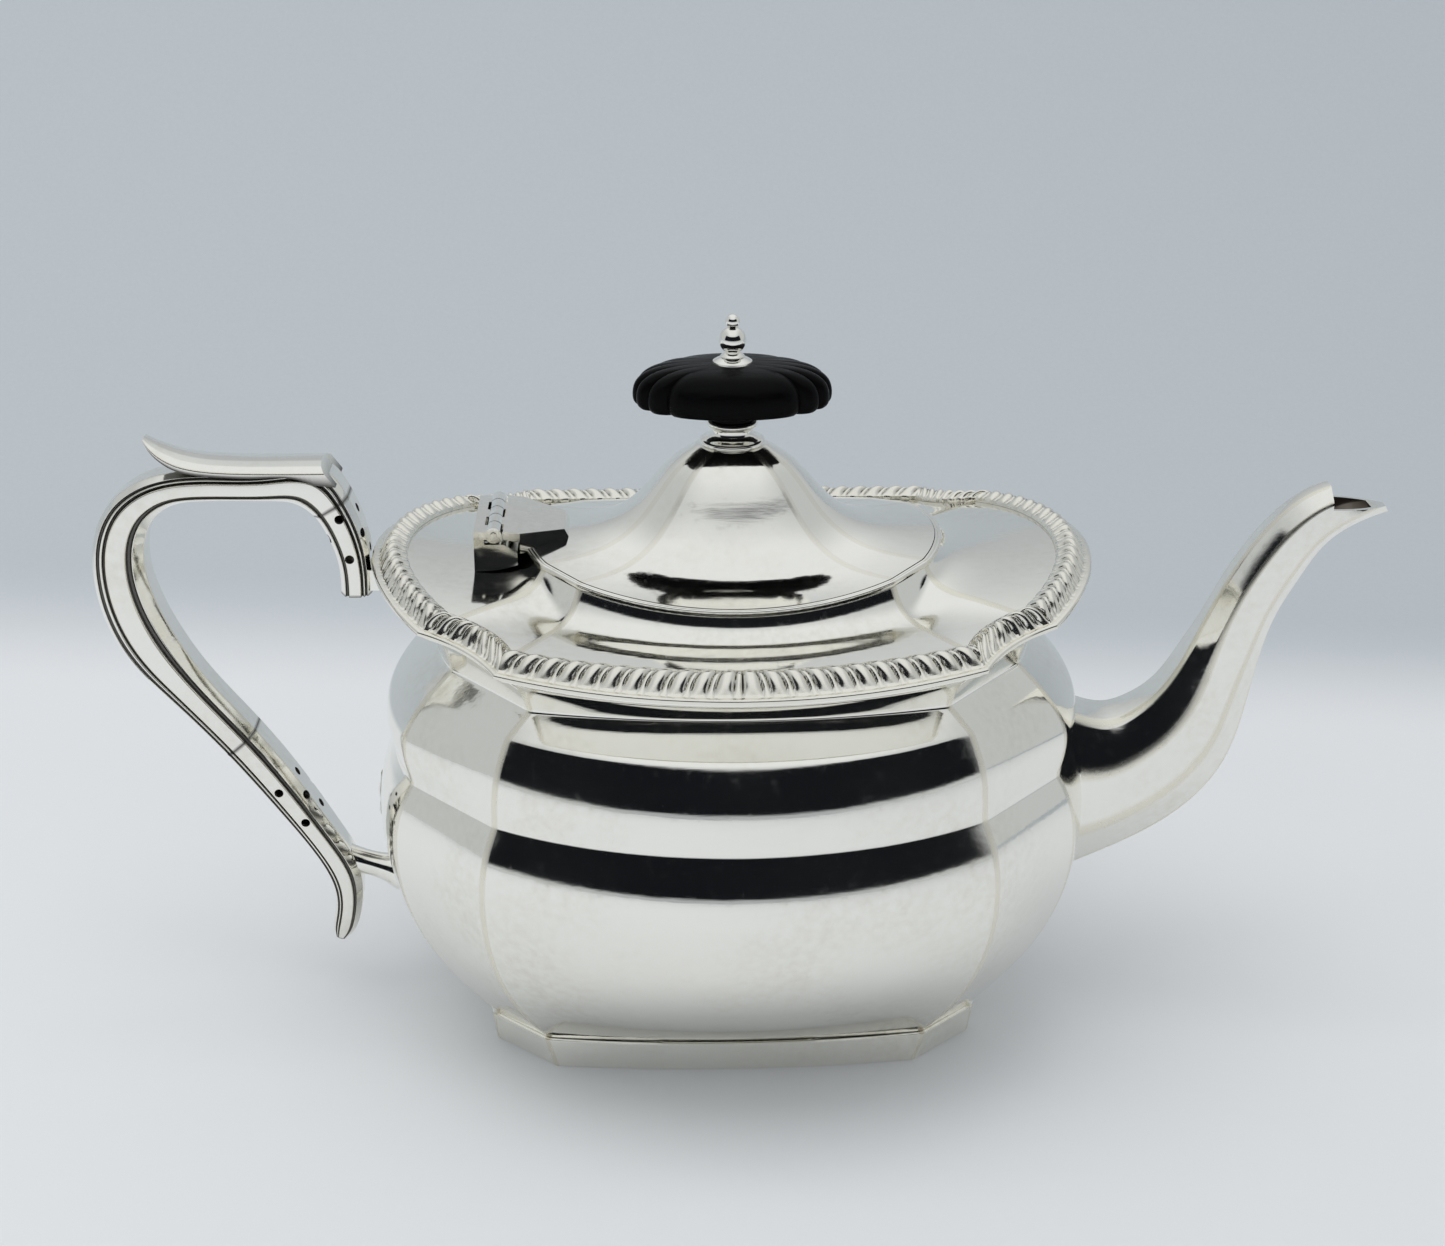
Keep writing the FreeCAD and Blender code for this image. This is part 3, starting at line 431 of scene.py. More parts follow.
def mesh_piece(name, rows, wear=None, grime_and_shade=None, closed=False, ends=False, smooth_angle=SMOOTH_ANGLE,
               stuff=silver, inside_from=None):
    """Mesh object from rows of rings, tea-stained and darkened as painted shade from the row inside_from
    on.

    closed joins the last row to the first, and ends puts on flat ends.
    """
    rows = np.asarray(rows)
    high, wide = rows.shape[:2]
    corners = np.arange(high * wide).reshape(high, wide)
    lower = corners if closed else corners[:-1]
    upper = np.roll(corners, -1, axis=0) if closed else corners[1:]
    quads = np.stack((lower, np.roll(lower, -1, axis=1), np.roll(upper, -1, axis=1), upper), axis=-1)
    faces = quads.reshape(-1, 4).tolist()
    if ends:
        faces.append(corners[0][::-1].tolist())
        faces.append(corners[-1].tolist())
    mesh = bpy.data.meshes.new(name)
    mesh.from_pydata((rows.reshape(-1, 3) * MILLIMETRE).tolist(), [], faces)
    for title, values in (("edge_wear", wear), ("grime_and_shade", grime_and_shade)):
        if values is not None:
            spread = np.broadcast_to(values, (high, wide)).ravel().astype(np.float32)
            mesh.attributes.new(title, "FLOAT", "POINT").data.foreach_set("value", spread)
    mesh.materials.append(stuff)
    if inside_from is not None:
        mesh.materials.append(stained_and_shaded)
        slots = (np.arange(len(faces)) // wide >= inside_from).astype(np.int32)
        mesh.polygons.foreach_set("material_index", slots)
    piece = bpy.data.objects.new(name, mesh)
    scene.collection.objects.link(piece)
    tidy_faces(piece, smooth_angle)
    return piece


def tidy_faces(piece, smooth_angle=SMOOTH_ANGLE):
    """Face normals outwards, smooth shading, and sharp edges where faces meet steeply."""
    work = bmesh.new()
    work.from_mesh(piece.data)
    bmesh.ops.remove_doubles(work, verts=work.verts, dist=SAME_PLACE)
    bmesh.ops.recalc_face_normals(work, faces=work.faces)
    work.to_mesh(piece.data)
    work.free()
    piece.data.shade_smooth()
    piece.data.set_sharp_from_angle(angle=math.radians(smooth_angle))


def cut(piece, *tools):
    """Cuts tool meshes out of a piece for good, one after another, and removes the tools."""
    for tool in tools:
        step = piece.modifiers.new("cut", "BOOLEAN")
        step.object = tool
        step.operation = "DIFFERENCE"
        step.solver = "EXACT"
        step.material_mode = "TRANSFER"
        bpy.context.view_layer.update()
        shape = piece.evaluated_get(bpy.context.evaluated_depsgraph_get())
        piece.data = bpy.data.meshes.new_from_object(shape)
        piece.modifiers.clear()
        bpy.data.objects.remove(tool)
        tidy_faces(piece)


print("edges are sharp from", SMOOTH_ANGLE, "degrees")

# %% [markdown]
# The body is raised from one sheet. Its side runs from the foot to a full belly, in to a crease, out again
# to a lobe, over a ridge into the neck and out to the rim. The same curve moved in by the sheet's
# thickness gives the inside, which shows when the lid is open. A solid core of the same shape is made as
# well: the spout is cut with it later.

# %% Body
WALL = 1.0
SEAT_INSET = 1.0
CANT_HOLLOW = 2.0
PARABOLA_MIDDLE = 0.75
FLARE_OUT, FLARE_UP = 0.3, 0.58
seat = inset(levels["foot_top"], SEAT_INSET)
rim = hollowed(levels["rim"], CANT_HOLLOW)


def body_stretches(distance):
    names = ("belly", "crease", "lobe", "ridge", "neck")
    low, top = inset(seat, distance), inset(rim, distance)
    wide, waist, upper, ridge, throat = [inset(levels[name], distance) for name in names]
    rise = between(low, wide, PARABOLA_MIDDLE, 0.5)
    turn = between(waist, wide, PARABOLA_MIDDLE, 0.5)
    flare = between(throat, top, FLARE_OUT, FLARE_UP)
    return [[low, rise, wide, turn, waist], [waist, upper, ridge], [ridge, throat], [throat, flare, top]]


OUTSIDE_STEPS, INSIDE_STEPS, BODY_EASE = (34, 18, 8, 16), (16, 8, 4, 8), 0.7
body_outside = rows_through(body_stretches(0), OUTSIDE_STEPS, BODY_EASE)
body_inside = rows_through(body_stretches(WALL), INSIDE_STEPS, BODY_EASE)
body = mesh_piece("silver_body", body_outside + body_inside[::-1], ring_wear, closed=True,
                  inside_from=len(body_outside))
body_core = mesh_piece("body_core", body_outside, ends=True)
print("body faces before drilling:", len(body.data.polygons))

# %% [markdown]
# The tea leaves through a strainer, a group of holes in the body behind the spout. They are drilled as on
# the real pot: at each place a round rod goes through the wall and is cut away.

# %% Strainer
OFF_AXIS = (0.3, 0.5, 0.8)


def rod(radius, start, stop, sides=24):
    """Plain round rod between two points, used as a drill. No rod runs along OFF_AXIS."""
    start, stop = np.asarray(start, float), np.asarray(stop, float)
    axis = (stop - start) / np.linalg.norm(stop - start)
    aside = np.cross(axis, OFF_AXIS)
    aside /= np.linalg.norm(aside)
    other = np.cross(axis, aside)
    turns = np.linspace(0, 2 * math.pi, sides, endpoint=False)
    circle = radius * (np.outer(np.cos(turns), aside) + np.outer(np.sin(turns), other))
    return mesh_piece("rod", [start + circle, stop + circle], ends=True, stuff=stained_and_shaded)


STRAINER_RADIUS, STRAINER_PITCH, STRAINER_HEIGHT = 1.4, 5.2, 54.0
DRILL_FROM, DRILL_TO = 60, 95
strainer = ((-1, 0), (0, -0.5), (0, 0.5), (1, 0), (-2, -0.5), (-2, 0.5), (2, -0.5), (2, 0.5),
            (-1, -1), (-1, 1), (1, -1), (1, 1))
drills = []
for up, across in strainer:
    y, z = across * STRAINER_PITCH, STRAINER_HEIGHT + up * STRAINER_PITCH
    drills.append(rod(STRAINER_RADIUS, (DRILL_FROM, y, z), (DRILL_TO, y, z)))
cut(body, *drills)
print("strainer holes:", len(strainer), "body faces:", len(body.data.polygons))

# %% [markdown]
# The foot is a plain eight-sided band that leans out a little. Its section is a list of steps inwards from
# the band's face and upwards from the table, with both edges eased as a file would leave them.

# %% Foot ring
FOOT_HEIGHT, FOOT_CORNER = 7.3, 0.8
FOOT_SECTION = ((0.25, 0.0), (0.05, 0.12), (0.0, 0.4), (0.0, 3.6), (0.0, 6.85), (0.06, 7.15), (0.3, 7.3),
                (1.6, 7.3), (3.0, 7.3), (3.0, 3.6), (3.0, 0.0), (1.6, 0.0))


def foot_outline(distance, height):
    return inset(between(levels["foot_bottom"], levels["foot_top"], height / FOOT_HEIGHT), distance)


foot_rows = [ring(foot_outline(distance, height), FOOT_CORNER) for distance, height in FOOT_SECTION]
foot = mesh_piece("silver_foot", foot_rows, ring_wear, closed=True)
print("foot faces:", len(foot.data.polygons))

# %% [markdown]
# The shoulder is a sheet that sweeps up towards the ends. From the border it dips into a shallow trough
# and then climbs a steep cove to the lip round the lid opening. Its canted panels are dished, so that the
# creases beside them catch the light. It is one closed band with an underside.

# %% Shoulder plate
SHEET = 1.0
LID_EDGE_SHEET, SEAT_GAP = 1.0, 0.3
LIP_INSET, LIP_WIDTH, COVE_INSET = 0.5, 1.6, 1.5
TROUGH_HOLLOW, COVE_HOLLOW = 1.4, 0.7
TROUGH_DROP, COVE_DROP = 1.1, 0.9
SHOULDER_STEPS, SHOULDER_EASE = (4, 36, 5, 3, 14, 3), 0.3
rim_top = raised(rim, SHEET)
border_inner = hollowed(levels["border_inner"], CANT_HOLLOW)
lid_edge = levels["lid_edge"]
trough = hollowed(levels["trough"], TROUGH_HOLLOW, TROUGH_DROP)
cove = hollowed(inset(levels["cove"], COVE_INSET), COVE_HOLLOW, COVE_DROP)
lip = raised(inset(lid_edge, LIP_INSET), -LID_EDGE_SHEET - SEAT_GAP)
opening = inset(lip, LIP_WIDTH)
opening_under, trough_under, border_under = [raised(q, -SHEET) for q in (opening, trough, border_inner)]
cove_under = inset(raised(cove, -SHEET), SHEET)
shoulder_stretches = [
    [rim_top, border_inner], [border_inner, trough, cove, lip], [lip, opening], [opening, opening_under],
    [opening_under, cove_under, trough_under, border_under], [border_under, rim]]
shoulder_rows = rows_through(shoulder_stretches, SHOULDER_STEPS, SHOULDER_EASE)
shoulder = mesh_piece("silver_shoulder", shoulder_rows, ring_wear, closed=True)
print("shoulder faces:", len(shoulder.data.polygons))

# %% [markdown]
# The gadroon border is a row of slanted lobes over the joint of body and shoulder, with a plain lip below.
# A texture could fake the lobes, but the outline and the shadows would stay smooth. So the border's arched
# strip is sampled finely and pressed in beside each lobe, fat ones and thin ones in turn. The slant turns
# over at the middle of each side, as it does on the real one. The hollows between the lobes hold old
# polish.

# %% Gadroon border
OVERHANG, BORDER_LIP, BORDER_RISE = 1.4, 1.0, 2.6
LOBES = {"end": 18, "cant": 7, "front": 22}
LOBE_STEPS, ARCH_ROWS = 16, 21
VALLEY, SLANT, TURN_OVER = 1.25, 0.75, 0.9
FAT_SHARE, THIN_DROP = 0.7, 0.3
FADE_RATE, FOOT_FADE, EDGE_FADE = 5, 0.15, 0.1
DIRT_RATE, DIRT_START, BORDER_WORN, BORDER_ANGLE = 2.6, 1.1, 0.5, 60
LIP_SECTION = ((0, 0), (0, 0.2), (-0.12, 0.5), (0, 0.85), (0.25, BORDER_LIP), (0.9, BORDER_LIP))
lip_low = inset(rim_top, -OVERHANG)
lobe_foot = raised(rim_top, BORDER_LIP)
lobe_edge = raised(border_inner, BORDER_LIP)
lobe_crest = raised(between(lobe_foot, lobe_edge, 0.5), BORDER_RISE)


def border_ring(quarter):
    """Ring with even steps along each side, so that the lobes are even."""
    runs = []
    for kind, start, middle, stop in sides(quarter):
        shares = np.linspace(0, 1, LOBES[kind] * LOBE_STEPS, endpoint=False)
        runs.append(arc(start, middle, stop, shares))
    return np.vstack(runs)


phases = []
slants = []
for kind in ("end", "cant", "front", "cant") * 2:
    count = LOBES[kind] * LOBE_STEPS
    phases.append(np.arange(count) / LOBE_STEPS)
    slants.append(np.tanh((np.arange(count) / count - 0.5) * LOBES[kind] * TURN_OVER))
phases = np.concatenate(phases)
slants = np.concatenate(slants)
arch = spline([border_ring(q) for q in (lobe_foot, lobe_crest, lobe_edge)], np.linspace(0, 1, ARCH_ROWS))
across = np.gradient(arch, axis=0)
around = np.roll(arch, -1, axis=1) - np.roll(arch, 1, axis=1)
outward = np.cross(around, across)
outward /= np.linalg.norm(outward, axis=-1)[..., None]
outward *= np.sign(outward[ARCH_ROWS // 2, :, 2])[None, :, None]
lobed, dirt = [], []
for index, share in enumerate(np.linspace(0, 1, ARCH_ROWS)):
    phase = (phases + slants * SLANT * (share - 0.5)) % 1
    fat = phase < FAT_SHARE
    off = np.where(fat, 2 * phase / FAT_SHARE - 1, 2 * (phase - FAT_SHARE) / (1 - FAT_SHARE) - 1)
    press = 1 - np.sqrt(np.clip(1 - off ** 2, 0, 1))
    press = np.where(fat, press, THIN_DROP + (1 - THIN_DROP) * press)
    fade = min(1, FADE_RATE * share + FOOT_FADE, FADE_RATE * (1 - share) + EDGE_FADE)
    lobed.append(arch[index] - outward[index] * (press * VALLEY * fade)[:, None])
    dirt.append(np.clip(DIRT_RATE * press - DIRT_START, 0, 1) * fade)
underside = [border_inner, between(border_inner, rim_top, 0.5), rim_top]
border_lip = [inset(raised(lip_low, up), inwards) for inwards, up in LIP_SECTION]
border_rows = [border_ring(q) for q in underside + border_lip]
border_grime = np.vstack((np.zeros((len(border_rows), len(phases))), dirt))
border_wear = BORDER_WORN * (1 - border_grime)
border = mesh_piece("silver_gadroon_border", border_rows + lobed, border_wear, border_grime, closed=True,
                    smooth_angle=BORDER_ANGLE)
print("lobes round the rim:", 2 * (LOBES["end"] + LOBES["front"] + 2 * LOBES["cant"]))

# %% [markdown]
# The lid is a pagoda roof in the same eight panels: a flat brim, a hollow curve, and a round shoulder
# under the knob. The list gives shares of the way in and of the climb. Under the knob the curve turns
# over, so the metal there mirrors the knob as a black arc.

# %% Lid
LID_SHEET, LID_CORNER, LID_WORN = 0.9, 0.9, 0.6
LID_CURVE = ((0.2, 0.014), (0.42, 0.09), (0.6, 0.285), (0.74, 0.573), (0.87, 0.836))
LID_STEPS, UNDER_STEPS = 44, 20
WIRE_WIDTH = 1.4
BOLT_HOLE = 1.6
lid_top = levels["lid_top"]
brim = inset(lid_edge, WIRE_WIDTH)
lid_outer = [brim] + [between(lid_edge, lid_top, share, lift) for share, lift in LID_CURVE] + [lid_top]
lid_inner = [raised(brim, -LID_EDGE_SHEET)]
for outline, (share, lift) in zip(lid_outer[1:-1], LID_CURVE):
    lid_inner.append(inset(raised(outline, -LID_SHEET), LID_SHEET * lift))
lid_inner.append(inset(raised(lid_top, -LID_SHEET), LID_SHEET))
lid_rows = list(spline([ring(q, LID_CORNER) for q in lid_outer], np.linspace(0, 1, LID_STEPS)))
lid_under = list(spline([ring(q, LID_CORNER) for q in lid_inner], np.linspace(0, 1, UNDER_STEPS)))


def shrunk(row, radius):
    """Ring round the pot's axis, at the height of a row and in line with its points."""
    flat = row.copy()
    flat[:, :2] *= radius / np.linalg.norm(row[:, :2], axis=1)[:, None]
    return flat


lid_rows += [shrunk(lid_rows[-1], BOLT_HOLE), shrunk(lid_under[-1], BOLT_HOLE)]
lid = mesh_piece("silver_lid", lid_rows + lid_under[::-1], ring_wear * LID_WORN, closed=True,
                 inside_from=len(lid_rows) - 1)
print("lid faces:", len(lid.data.polygons))

# %% [markdown]
# A wire of two reeds runs round the lid. It hides the raw edge of the sheet and stiffens it. Its section,
# two half rounds side by side on a flat foot, is set round the lid's edge as the foot's section was round
# the foot.

# %% Lid's edge wire
REED, REED_RISE, REED_OVERLAP, REED_STEPS = 0.36, 0.9, 0.04, 7
WIRE_CORNER, WIRE_WORN, WIRE_ANGLE = 0.7, 0.5, 70
wire_section = []
for middle in (REED, 3 * REED - REED_OVERLAP):
    for turn in np.linspace(math.pi, 0, REED_STEPS):
        wire_section.append((middle + REED * math.cos(turn), REED * REED_RISE * math.sin(turn)))
wire_section += [(WIRE_WIDTH, -0.1), (WIRE_WIDTH, -LID_EDGE_SHEET), (0.1, -LID_EDGE_SHEET), (0.0, -0.8)]
wire_rows = [ring(raised(inset(lid_edge, d), h - REED * REED_RISE), WIRE_CORNER) for d, h in wire_section]
lid_wire = mesh_piece("silver_lid_wire", wire_rows, ring_wear * WIRE_WORN, closed=True,
                      smooth_angle=WIRE_ANGLE)
print("edge wire faces:", len(lid_wire.data.polygons))

# %% [markdown]
# Round pieces are turned: a profile of radius and height is spun about the pot's axis. The collar under
# the knob has two rings with a waist between them, and the finial is two balls on a stem that goes on down
# through the knob as the bolt.

# %% Turned collar, washer and finial
TURN_STEPS, LEAST_RADIUS = 72, 0.004


def turned(name, profile):
    """Closed piece spun from a profile of (radius, height)."""
    turns = np.linspace(0, 2 * math.pi, TURN_STEPS, endpoint=False)
    rows = []
    for radius, height in profile:
        radius = max(radius, LEAST_RADIUS)
        circle = radius * np.cos(turns), radius * np.sin(turns), np.full(TURN_STEPS, height)
        rows.append(np.stack(circle, axis=1))
    return mesh_piece(name, rows, closed=True)


def bead(radius, height, size, start, stop, steps=9):
    """Round moulding at a radius and height, from one angle to another; 0 is straight out."""
    return [(radius + size * math.cos(math.radians(a)), height + size * math.sin(math.radians(a)))
            for a in np.linspace(start, stop, steps)]


COLLAR_BASE, COLLAR_TOP, KNOB_TOP, WASHER_TOP = lid_top[0, 2], 139.2, 151.4, 152.6
collar_profile = [(BOLT_HOLE, COLLAR_BASE), (6.6, COLLAR_BASE)] + bead(6.35, 134.3, 0.68, -70, 100)
collar_profile += [(5.5, 135.2), (4.7, 135.8), (4.4, 136.6), (4.5, 137.3)] + bead(4.8, 138.3, 0.7, -80, 90)
collar_profile += [(4.4, COLLAR_TOP), (BOLT_HOLE, COLLAR_TOP)]
collar = turned("silver_collar", collar_profile)
WASHER_BASE = KNOB_TOP - 0.3
washer_profile = [(BOLT_HOLE, WASHER_BASE), (3.9, WASHER_BASE), (4.2, KNOB_TOP), (4.15, KNOB_TOP + 0.35)]
washer_profile += [(3.6, KNOB_TOP + 0.7), (2.7, WASHER_TOP - 0.1)]
washer_profile += [(2.2, WASHER_TOP), (BOLT_HOLE, WASHER_TOP)]
washer = turned("silver_knob_washer", washer_profile)
BALL, BALL_HEIGHT, TIP, TIP_HEIGHT = 2.9, 156.2, 1.55, 160.15
BOLT, BOLT_END = 1.5, 128.0
finial_profile = [(0.0, BOLT_END), (BOLT, BOLT_END), (BOLT, WASHER_TOP), (2.5, WASHER_TOP)]
finial_profile += [(2.55, 152.85), (2.2, 153.2), (1.85, 153.5)]
finial_profile += bead(0, BALL_HEIGHT, BALL, -58, 66, 17) + [(1.05, 159.0)]
finial_profile += bead(0, TIP_HEIGHT, TIP, -50, 90, 15)
finial = turned("silver_finial", finial_profile)
print("finial tip at", max(h for r, h in finial_profile), "mm")

# %% [markdown]
# The knob is a black melon, carved with flutes: one broad lobe on each long side and five narrow ones
# round each end. A ring of it is an oval whose radius dips at each crease. Rings shrink towards the crown,
# so the creases run together under the silver washer. Below, a short neck stands on the collar.

# %% Knob
KNOB_CREASES = (-45, -27, -9, 9, 27, 45, 135, 153, 171, 189, 207, 225)
KNOB_LENGTH, KNOB_DEPTH, CROWN, FLUTE = 21.0, 13.5, 4.4, 1.5
KNOB_BASE, KNOB_ANGLE = 142.3, 32
KNOB_CURVE = ((0.0, 0.89), (0.01, 0.93), (0.05, 0.965), (0.2, 1.0), (0.4, 0.995), (0.6, 0.95), (0.76, 0.85),
              (0.88, 0.69), (0.96, 0.42), (1.0, 0.0))
KNOB_STEPS, LOBE_POINTS = 34, 16
NARROW_LOBE, NARROW_POWER, BROAD_POWER = 40, 2.6, 9
FLUTE_GROWTH = 1.15
NECK_HEIGHT = KNOB_BASE - COLLAR_TOP
KNOB_NECK = ((BOLT_HOLE, NECK_HEIGHT), (4.7, NECK_HEIGHT), (4.8, 0.5), (5.4, 0.0))
knob_turns = []
knob_dips = []
for start, stop in zip(KNOB_CREASES, KNOB_CREASES[1:] + (KNOB_CREASES[0] + 360,)):
    power = NARROW_POWER if stop - start < NARROW_LOBE else BROAD_POWER
    for share in np.arange(LOBE_POINTS) / LOBE_POINTS:
        knob_turns.append(math.radians(start + (stop - start) * share))
        knob_dips.append(abs(2 * share - 1) ** power)
knob_turns, knob_dips = np.array(knob_turns), np.array(knob_dips)


def knob_ring(girth, height):
    dip = FLUTE * min(1, girth * FLUTE_GROWTH) * knob_dips
    long = CROWN + (KNOB_LENGTH - CROWN) * girth - dip
    deep = CROWN + (KNOB_DEPTH - CROWN) * girth - dip
    oval = long * np.cos(knob_turns), deep * np.sin(knob_turns), np.full(len(dip), height)
    return np.stack(oval, axis=1)


def finer(pairs, count):
    """More pairs on the spline through the given ones."""
    keys = np.array([(first, second, 0) for first, second in pairs])
    return spline(keys[:, None, :], np.linspace(0, 1, count))[:, 0, :2]


knob_rows = [knob_ring(girth, KNOB_BASE + (KNOB_TOP - KNOB_BASE) * share)
             for share, girth in finer(KNOB_CURVE, KNOB_STEPS)]
flat_top = shrunk(knob_rows[-1], BOLT_HOLE)
neck = [shrunk(knob_rows[0], radius) - point(0, 0, drop) for radius, drop in KNOB_NECK]
knob = mesh_piece("black_knob", knob_rows + [flat_top] + neck, closed=True, smooth_angle=KNOB_ANGLE,
                  stuff=black)
print("knob faces:", len(knob.data.polygons))

# %% [markdown]
# Spout and handle are drawn the same way: stations along a curve, each with an outer and an inner edge
# point and half a width. A section in its own units is set across each station, and the spline runs a
# smooth skin through them. The corners of a section are rounded, and say whether they are worn or hold
# grime.

# %% Sections along a curve
SPOUT = (
    (-10.0, 76.0, -12.0, 31.0, 13.5), (4.7, 70.5, 4.6, 37.6, 11.6), (10.6, 72.2, 16.6, 43.2, 9.8),
    (15.2, 75.4, 25.6, 49.8, 8.6), (19.2, 80.4, 32.6, 59.4, 7.6), (22.6, 86.6, 36.4, 72.4, 6.9),
    (25.8, 93.0, 38.8, 83.8, 6.5), (29.8, 101.4, 41.8, 94.0, 6.2), (34.6, 109.6, 45.8, 101.8, 6.0),
    (40.0, 116.4, 49.6, 108.2, 5.8), (45.2, 120.8, 53.4, 112.2, 5.5), (50.8, 123.4, 58.0, 115.0, 5.0),
    (60.0, 124.6, 64.4, 117.0, 1.5))
MOST_CORNER, LEAST_HALF = 0.4, 0.2


def softened(corners, length, steps=3):
    """Closed section with rounded corners, and the wear and the dark marks of its points.

    A corner is (across, up, mark); mark 1 is a worn edge, -1 a dark mark, 0 neither. A dark mark is
    grime in a groove of the handle, and painted shade where the thumb strip lies on the handle.
    """
    places, marks = [], []
    count = len(corners)
    for index in range(count):
        before, here, after = (np.array(corners[(index + k) % count][:2], float) for k in (-1, 0, 1))
        start = here + (before - here) * min(length / np.linalg.norm(before - here), MOST_CORNER)
        stop = here + (after - here) * min(length / np.linalg.norm(after - here), MOST_CORNER)
        places.extend(bend(start, here, stop, np.linspace(0, 1, steps + 2)))
        mark = corners[index][2]
        marks += [min(mark, 0)] + [mark] * steps + [min(mark, 0)]
    marks = np.array(marks, float)
    return np.array(places), np.clip(marks, 0, 1), np.clip(-marks, 0, 1)


def stations_along(stations, root, direction):
    """Arrays of outer points, inner points and half widths."""
    table = np.array(stations)
    outer = np.stack((direction * (root + table[:, 0]), 0 * table[:, 0], table[:, 1]), axis=1)
    inner = np.stack((direction * (root + table[:, 2]), 0 * table[:, 2], table[:, 3]), axis=1)
    return outer, inner, table[:, 4]


def skin_along(outer, inner, half_width, section, wall=0.0):
    """Rows of a section set across stations, less a wall."""
    middle = (outer + inner) / 2
    rise = (outer - inner) / 2
    size = np.linalg.norm(rise, axis=1)
    rise = rise * (np.clip(size - wall, LEAST_HALF, None) / size)[:, None]
    across = np.outer(np.clip(half_width - wall, LEAST_HALF, None), (0, 1, 0))
    return middle[:, None] + across[:, None] * section[None, :, :1] + rise[:, None] * section[None, :, 1:]


def denser(stations, count):
    """More stations on the spline through the given ones."""
    outer, inner, half_width = stations
    keys = np.stack((outer, inner, np.outer(half_width, (0, 1, 0))), axis=1)
    made = spline(keys, np.linspace(0, 1, count))
    return made[:, 0], made[:, 1], made[:, 2, 1]


def octagon(facet, side):
    """Eight-sided section from its top and side facets, as shares of its width and height."""
    corners = ((facet, 1), (1, side), (1, -side), (facet, -1))
    return [(*corner, 1) for corner in corners] + [(-across, -up, 1) for across, up in corners]


print("stations along the spout:", len(SPOUT))

# %% [markdown]
# The spout is a hollow tube: an outer skin, a bore, and two cuts. Its section is an octagon that changes
# on the way up: the top facet narrows and the sides grow. One cut follows the body so that the spout ends
# on it, and one opens the beak. Booleans are the right tool here, because the cut edges lie nowhere on the
# tube's own rows.

# %% Spout
BELLY_END = LEVELS["belly"][0]
SPOUT_ROWS, BORE_ROWS, SPOUT_WALL = 110, 106, 1.0
ROOT_FACETS, BEAK_FACETS = (0.54, 0.4), (0.36, 0.5)
CHANGE_FROM, CHANGE_TO, SPOUT_CORNER = 0.45, 0.62, 0.13
MOUTH, MOUTH_HALF = ((129, 119), (129, 132), (150, 132), (150, 118.2)), 20
root_section, spout_wear, _ = softened(octagon(*ROOT_FACETS), SPOUT_CORNER)
beak_section, _, _ = softened(octagon(*BEAK_FACETS), SPOUT_CORNER)
spout_line = denser(stations_along(SPOUT, BELLY_END, 1), SPOUT_ROWS)
change = np.clip((np.linspace(0, 1, SPOUT_ROWS) - CHANGE_FROM) / (CHANGE_TO - CHANGE_FROM), 0, 1)
change = (change ** 2 * (3 - 2 * change))[:, None, None]


def spout_skin(wall):
    low, high = (skin_along(*spout_line, section, wall) for section in (root_section, beak_section))
    return low + (high - low) * change


spout = mesh_piece("silver_spout", spout_skin(0.0), spout_wear, ends=True)
bore = mesh_piece("bore", spout_skin(SPOUT_WALL)[:BORE_ROWS], ends=True, stuff=stained_and_shaded)
near_side = np.array([(x, -MOUTH_HALF, z) for x, z in MOUTH], float)
mouth = mesh_piece("mouth", [near_side, near_side * point(1, -1, 1)], ends=True)
cut(spout, bore, mouth, body_core)
print("spout faces:", len(spout.data.polygons))

# %% [markdown]
# The handle is a scroll of one section all the way: an octagon whose side faces stand proud between
# grooves, which old polish has filled with black. The first list gives its stations. The second one walks
# half the section, from the outer facet to the inner one, and the other half is its mirror image.

# %% Handle
HANDLE = (
    (-0.4, 101.6, 6.2, 101.6, 6.0), (-0.5, 108.0, 6.4, 108.0, 6.2), (0.6, 115.6, 8.2, 114.2, 6.4),
    (3.6, 123.6, 11.0, 119.2, 6.5), (8.0, 129.4, 14.4, 121.8, 6.6), (19.5, 129.8, 20.0, 122.6, 6.6),
    (35.0, 129.6, 34.6, 122.7, 6.6), (45.6, 127.8, 41.2, 121.6, 6.6), (53.4, 122.8, 45.4, 118.0, 6.6),
    (57.6, 115.2, 47.3, 112.8, 6.6), (58.7, 106.6, 47.4, 106.8, 6.6), (57.4, 97.0, 45.9, 100.3, 6.6),
    (53.2, 87.2, 43.0, 93.2, 6.6), (45.6, 78.0, 37.8, 83.9, 6.5), (33.4, 63.8, 26.8, 69.4, 6.4),
    (22.8, 49.4, 16.4, 54.0, 6.2), (16.4, 39.8, 10.0, 43.0, 5.8), (12.6, 31.4, 5.9, 33.4, 5.2),
    (12.1, 24.6, 6.2, 24.4, 4.4), (12.9, 19.2, 8.2, 18.2, 3.2), (12.6, 16.4, 10.4, 15.7, 1.8))
HANDLE_EDGE = (
    (0.5, 1.0, 1), (0.87, 0.79, 0), (0.79, 0.73, -1), (0.79, 0.67, -1), (0.92, 0.61, 0), (0.92, 0.54, 0),
    (0.82, 0.49, -1), (0.82, 0.44, -1), (1.0, 0.38, 1), (1.0, -0.38, 1), (0.83, -0.44, -1),
    (0.83, -0.56, -1), (0.93, -0.63, 0), (0.5, -1.0, 1))
HANDLE_CORNER, FINE, END = 0.05, 14, len(HANDLE) - 1


def both_sides(edge):
    """Whole section from the half that lies on one side."""
    return edge + tuple((-across, up, mark) for across, up, mark in edge[::-1])


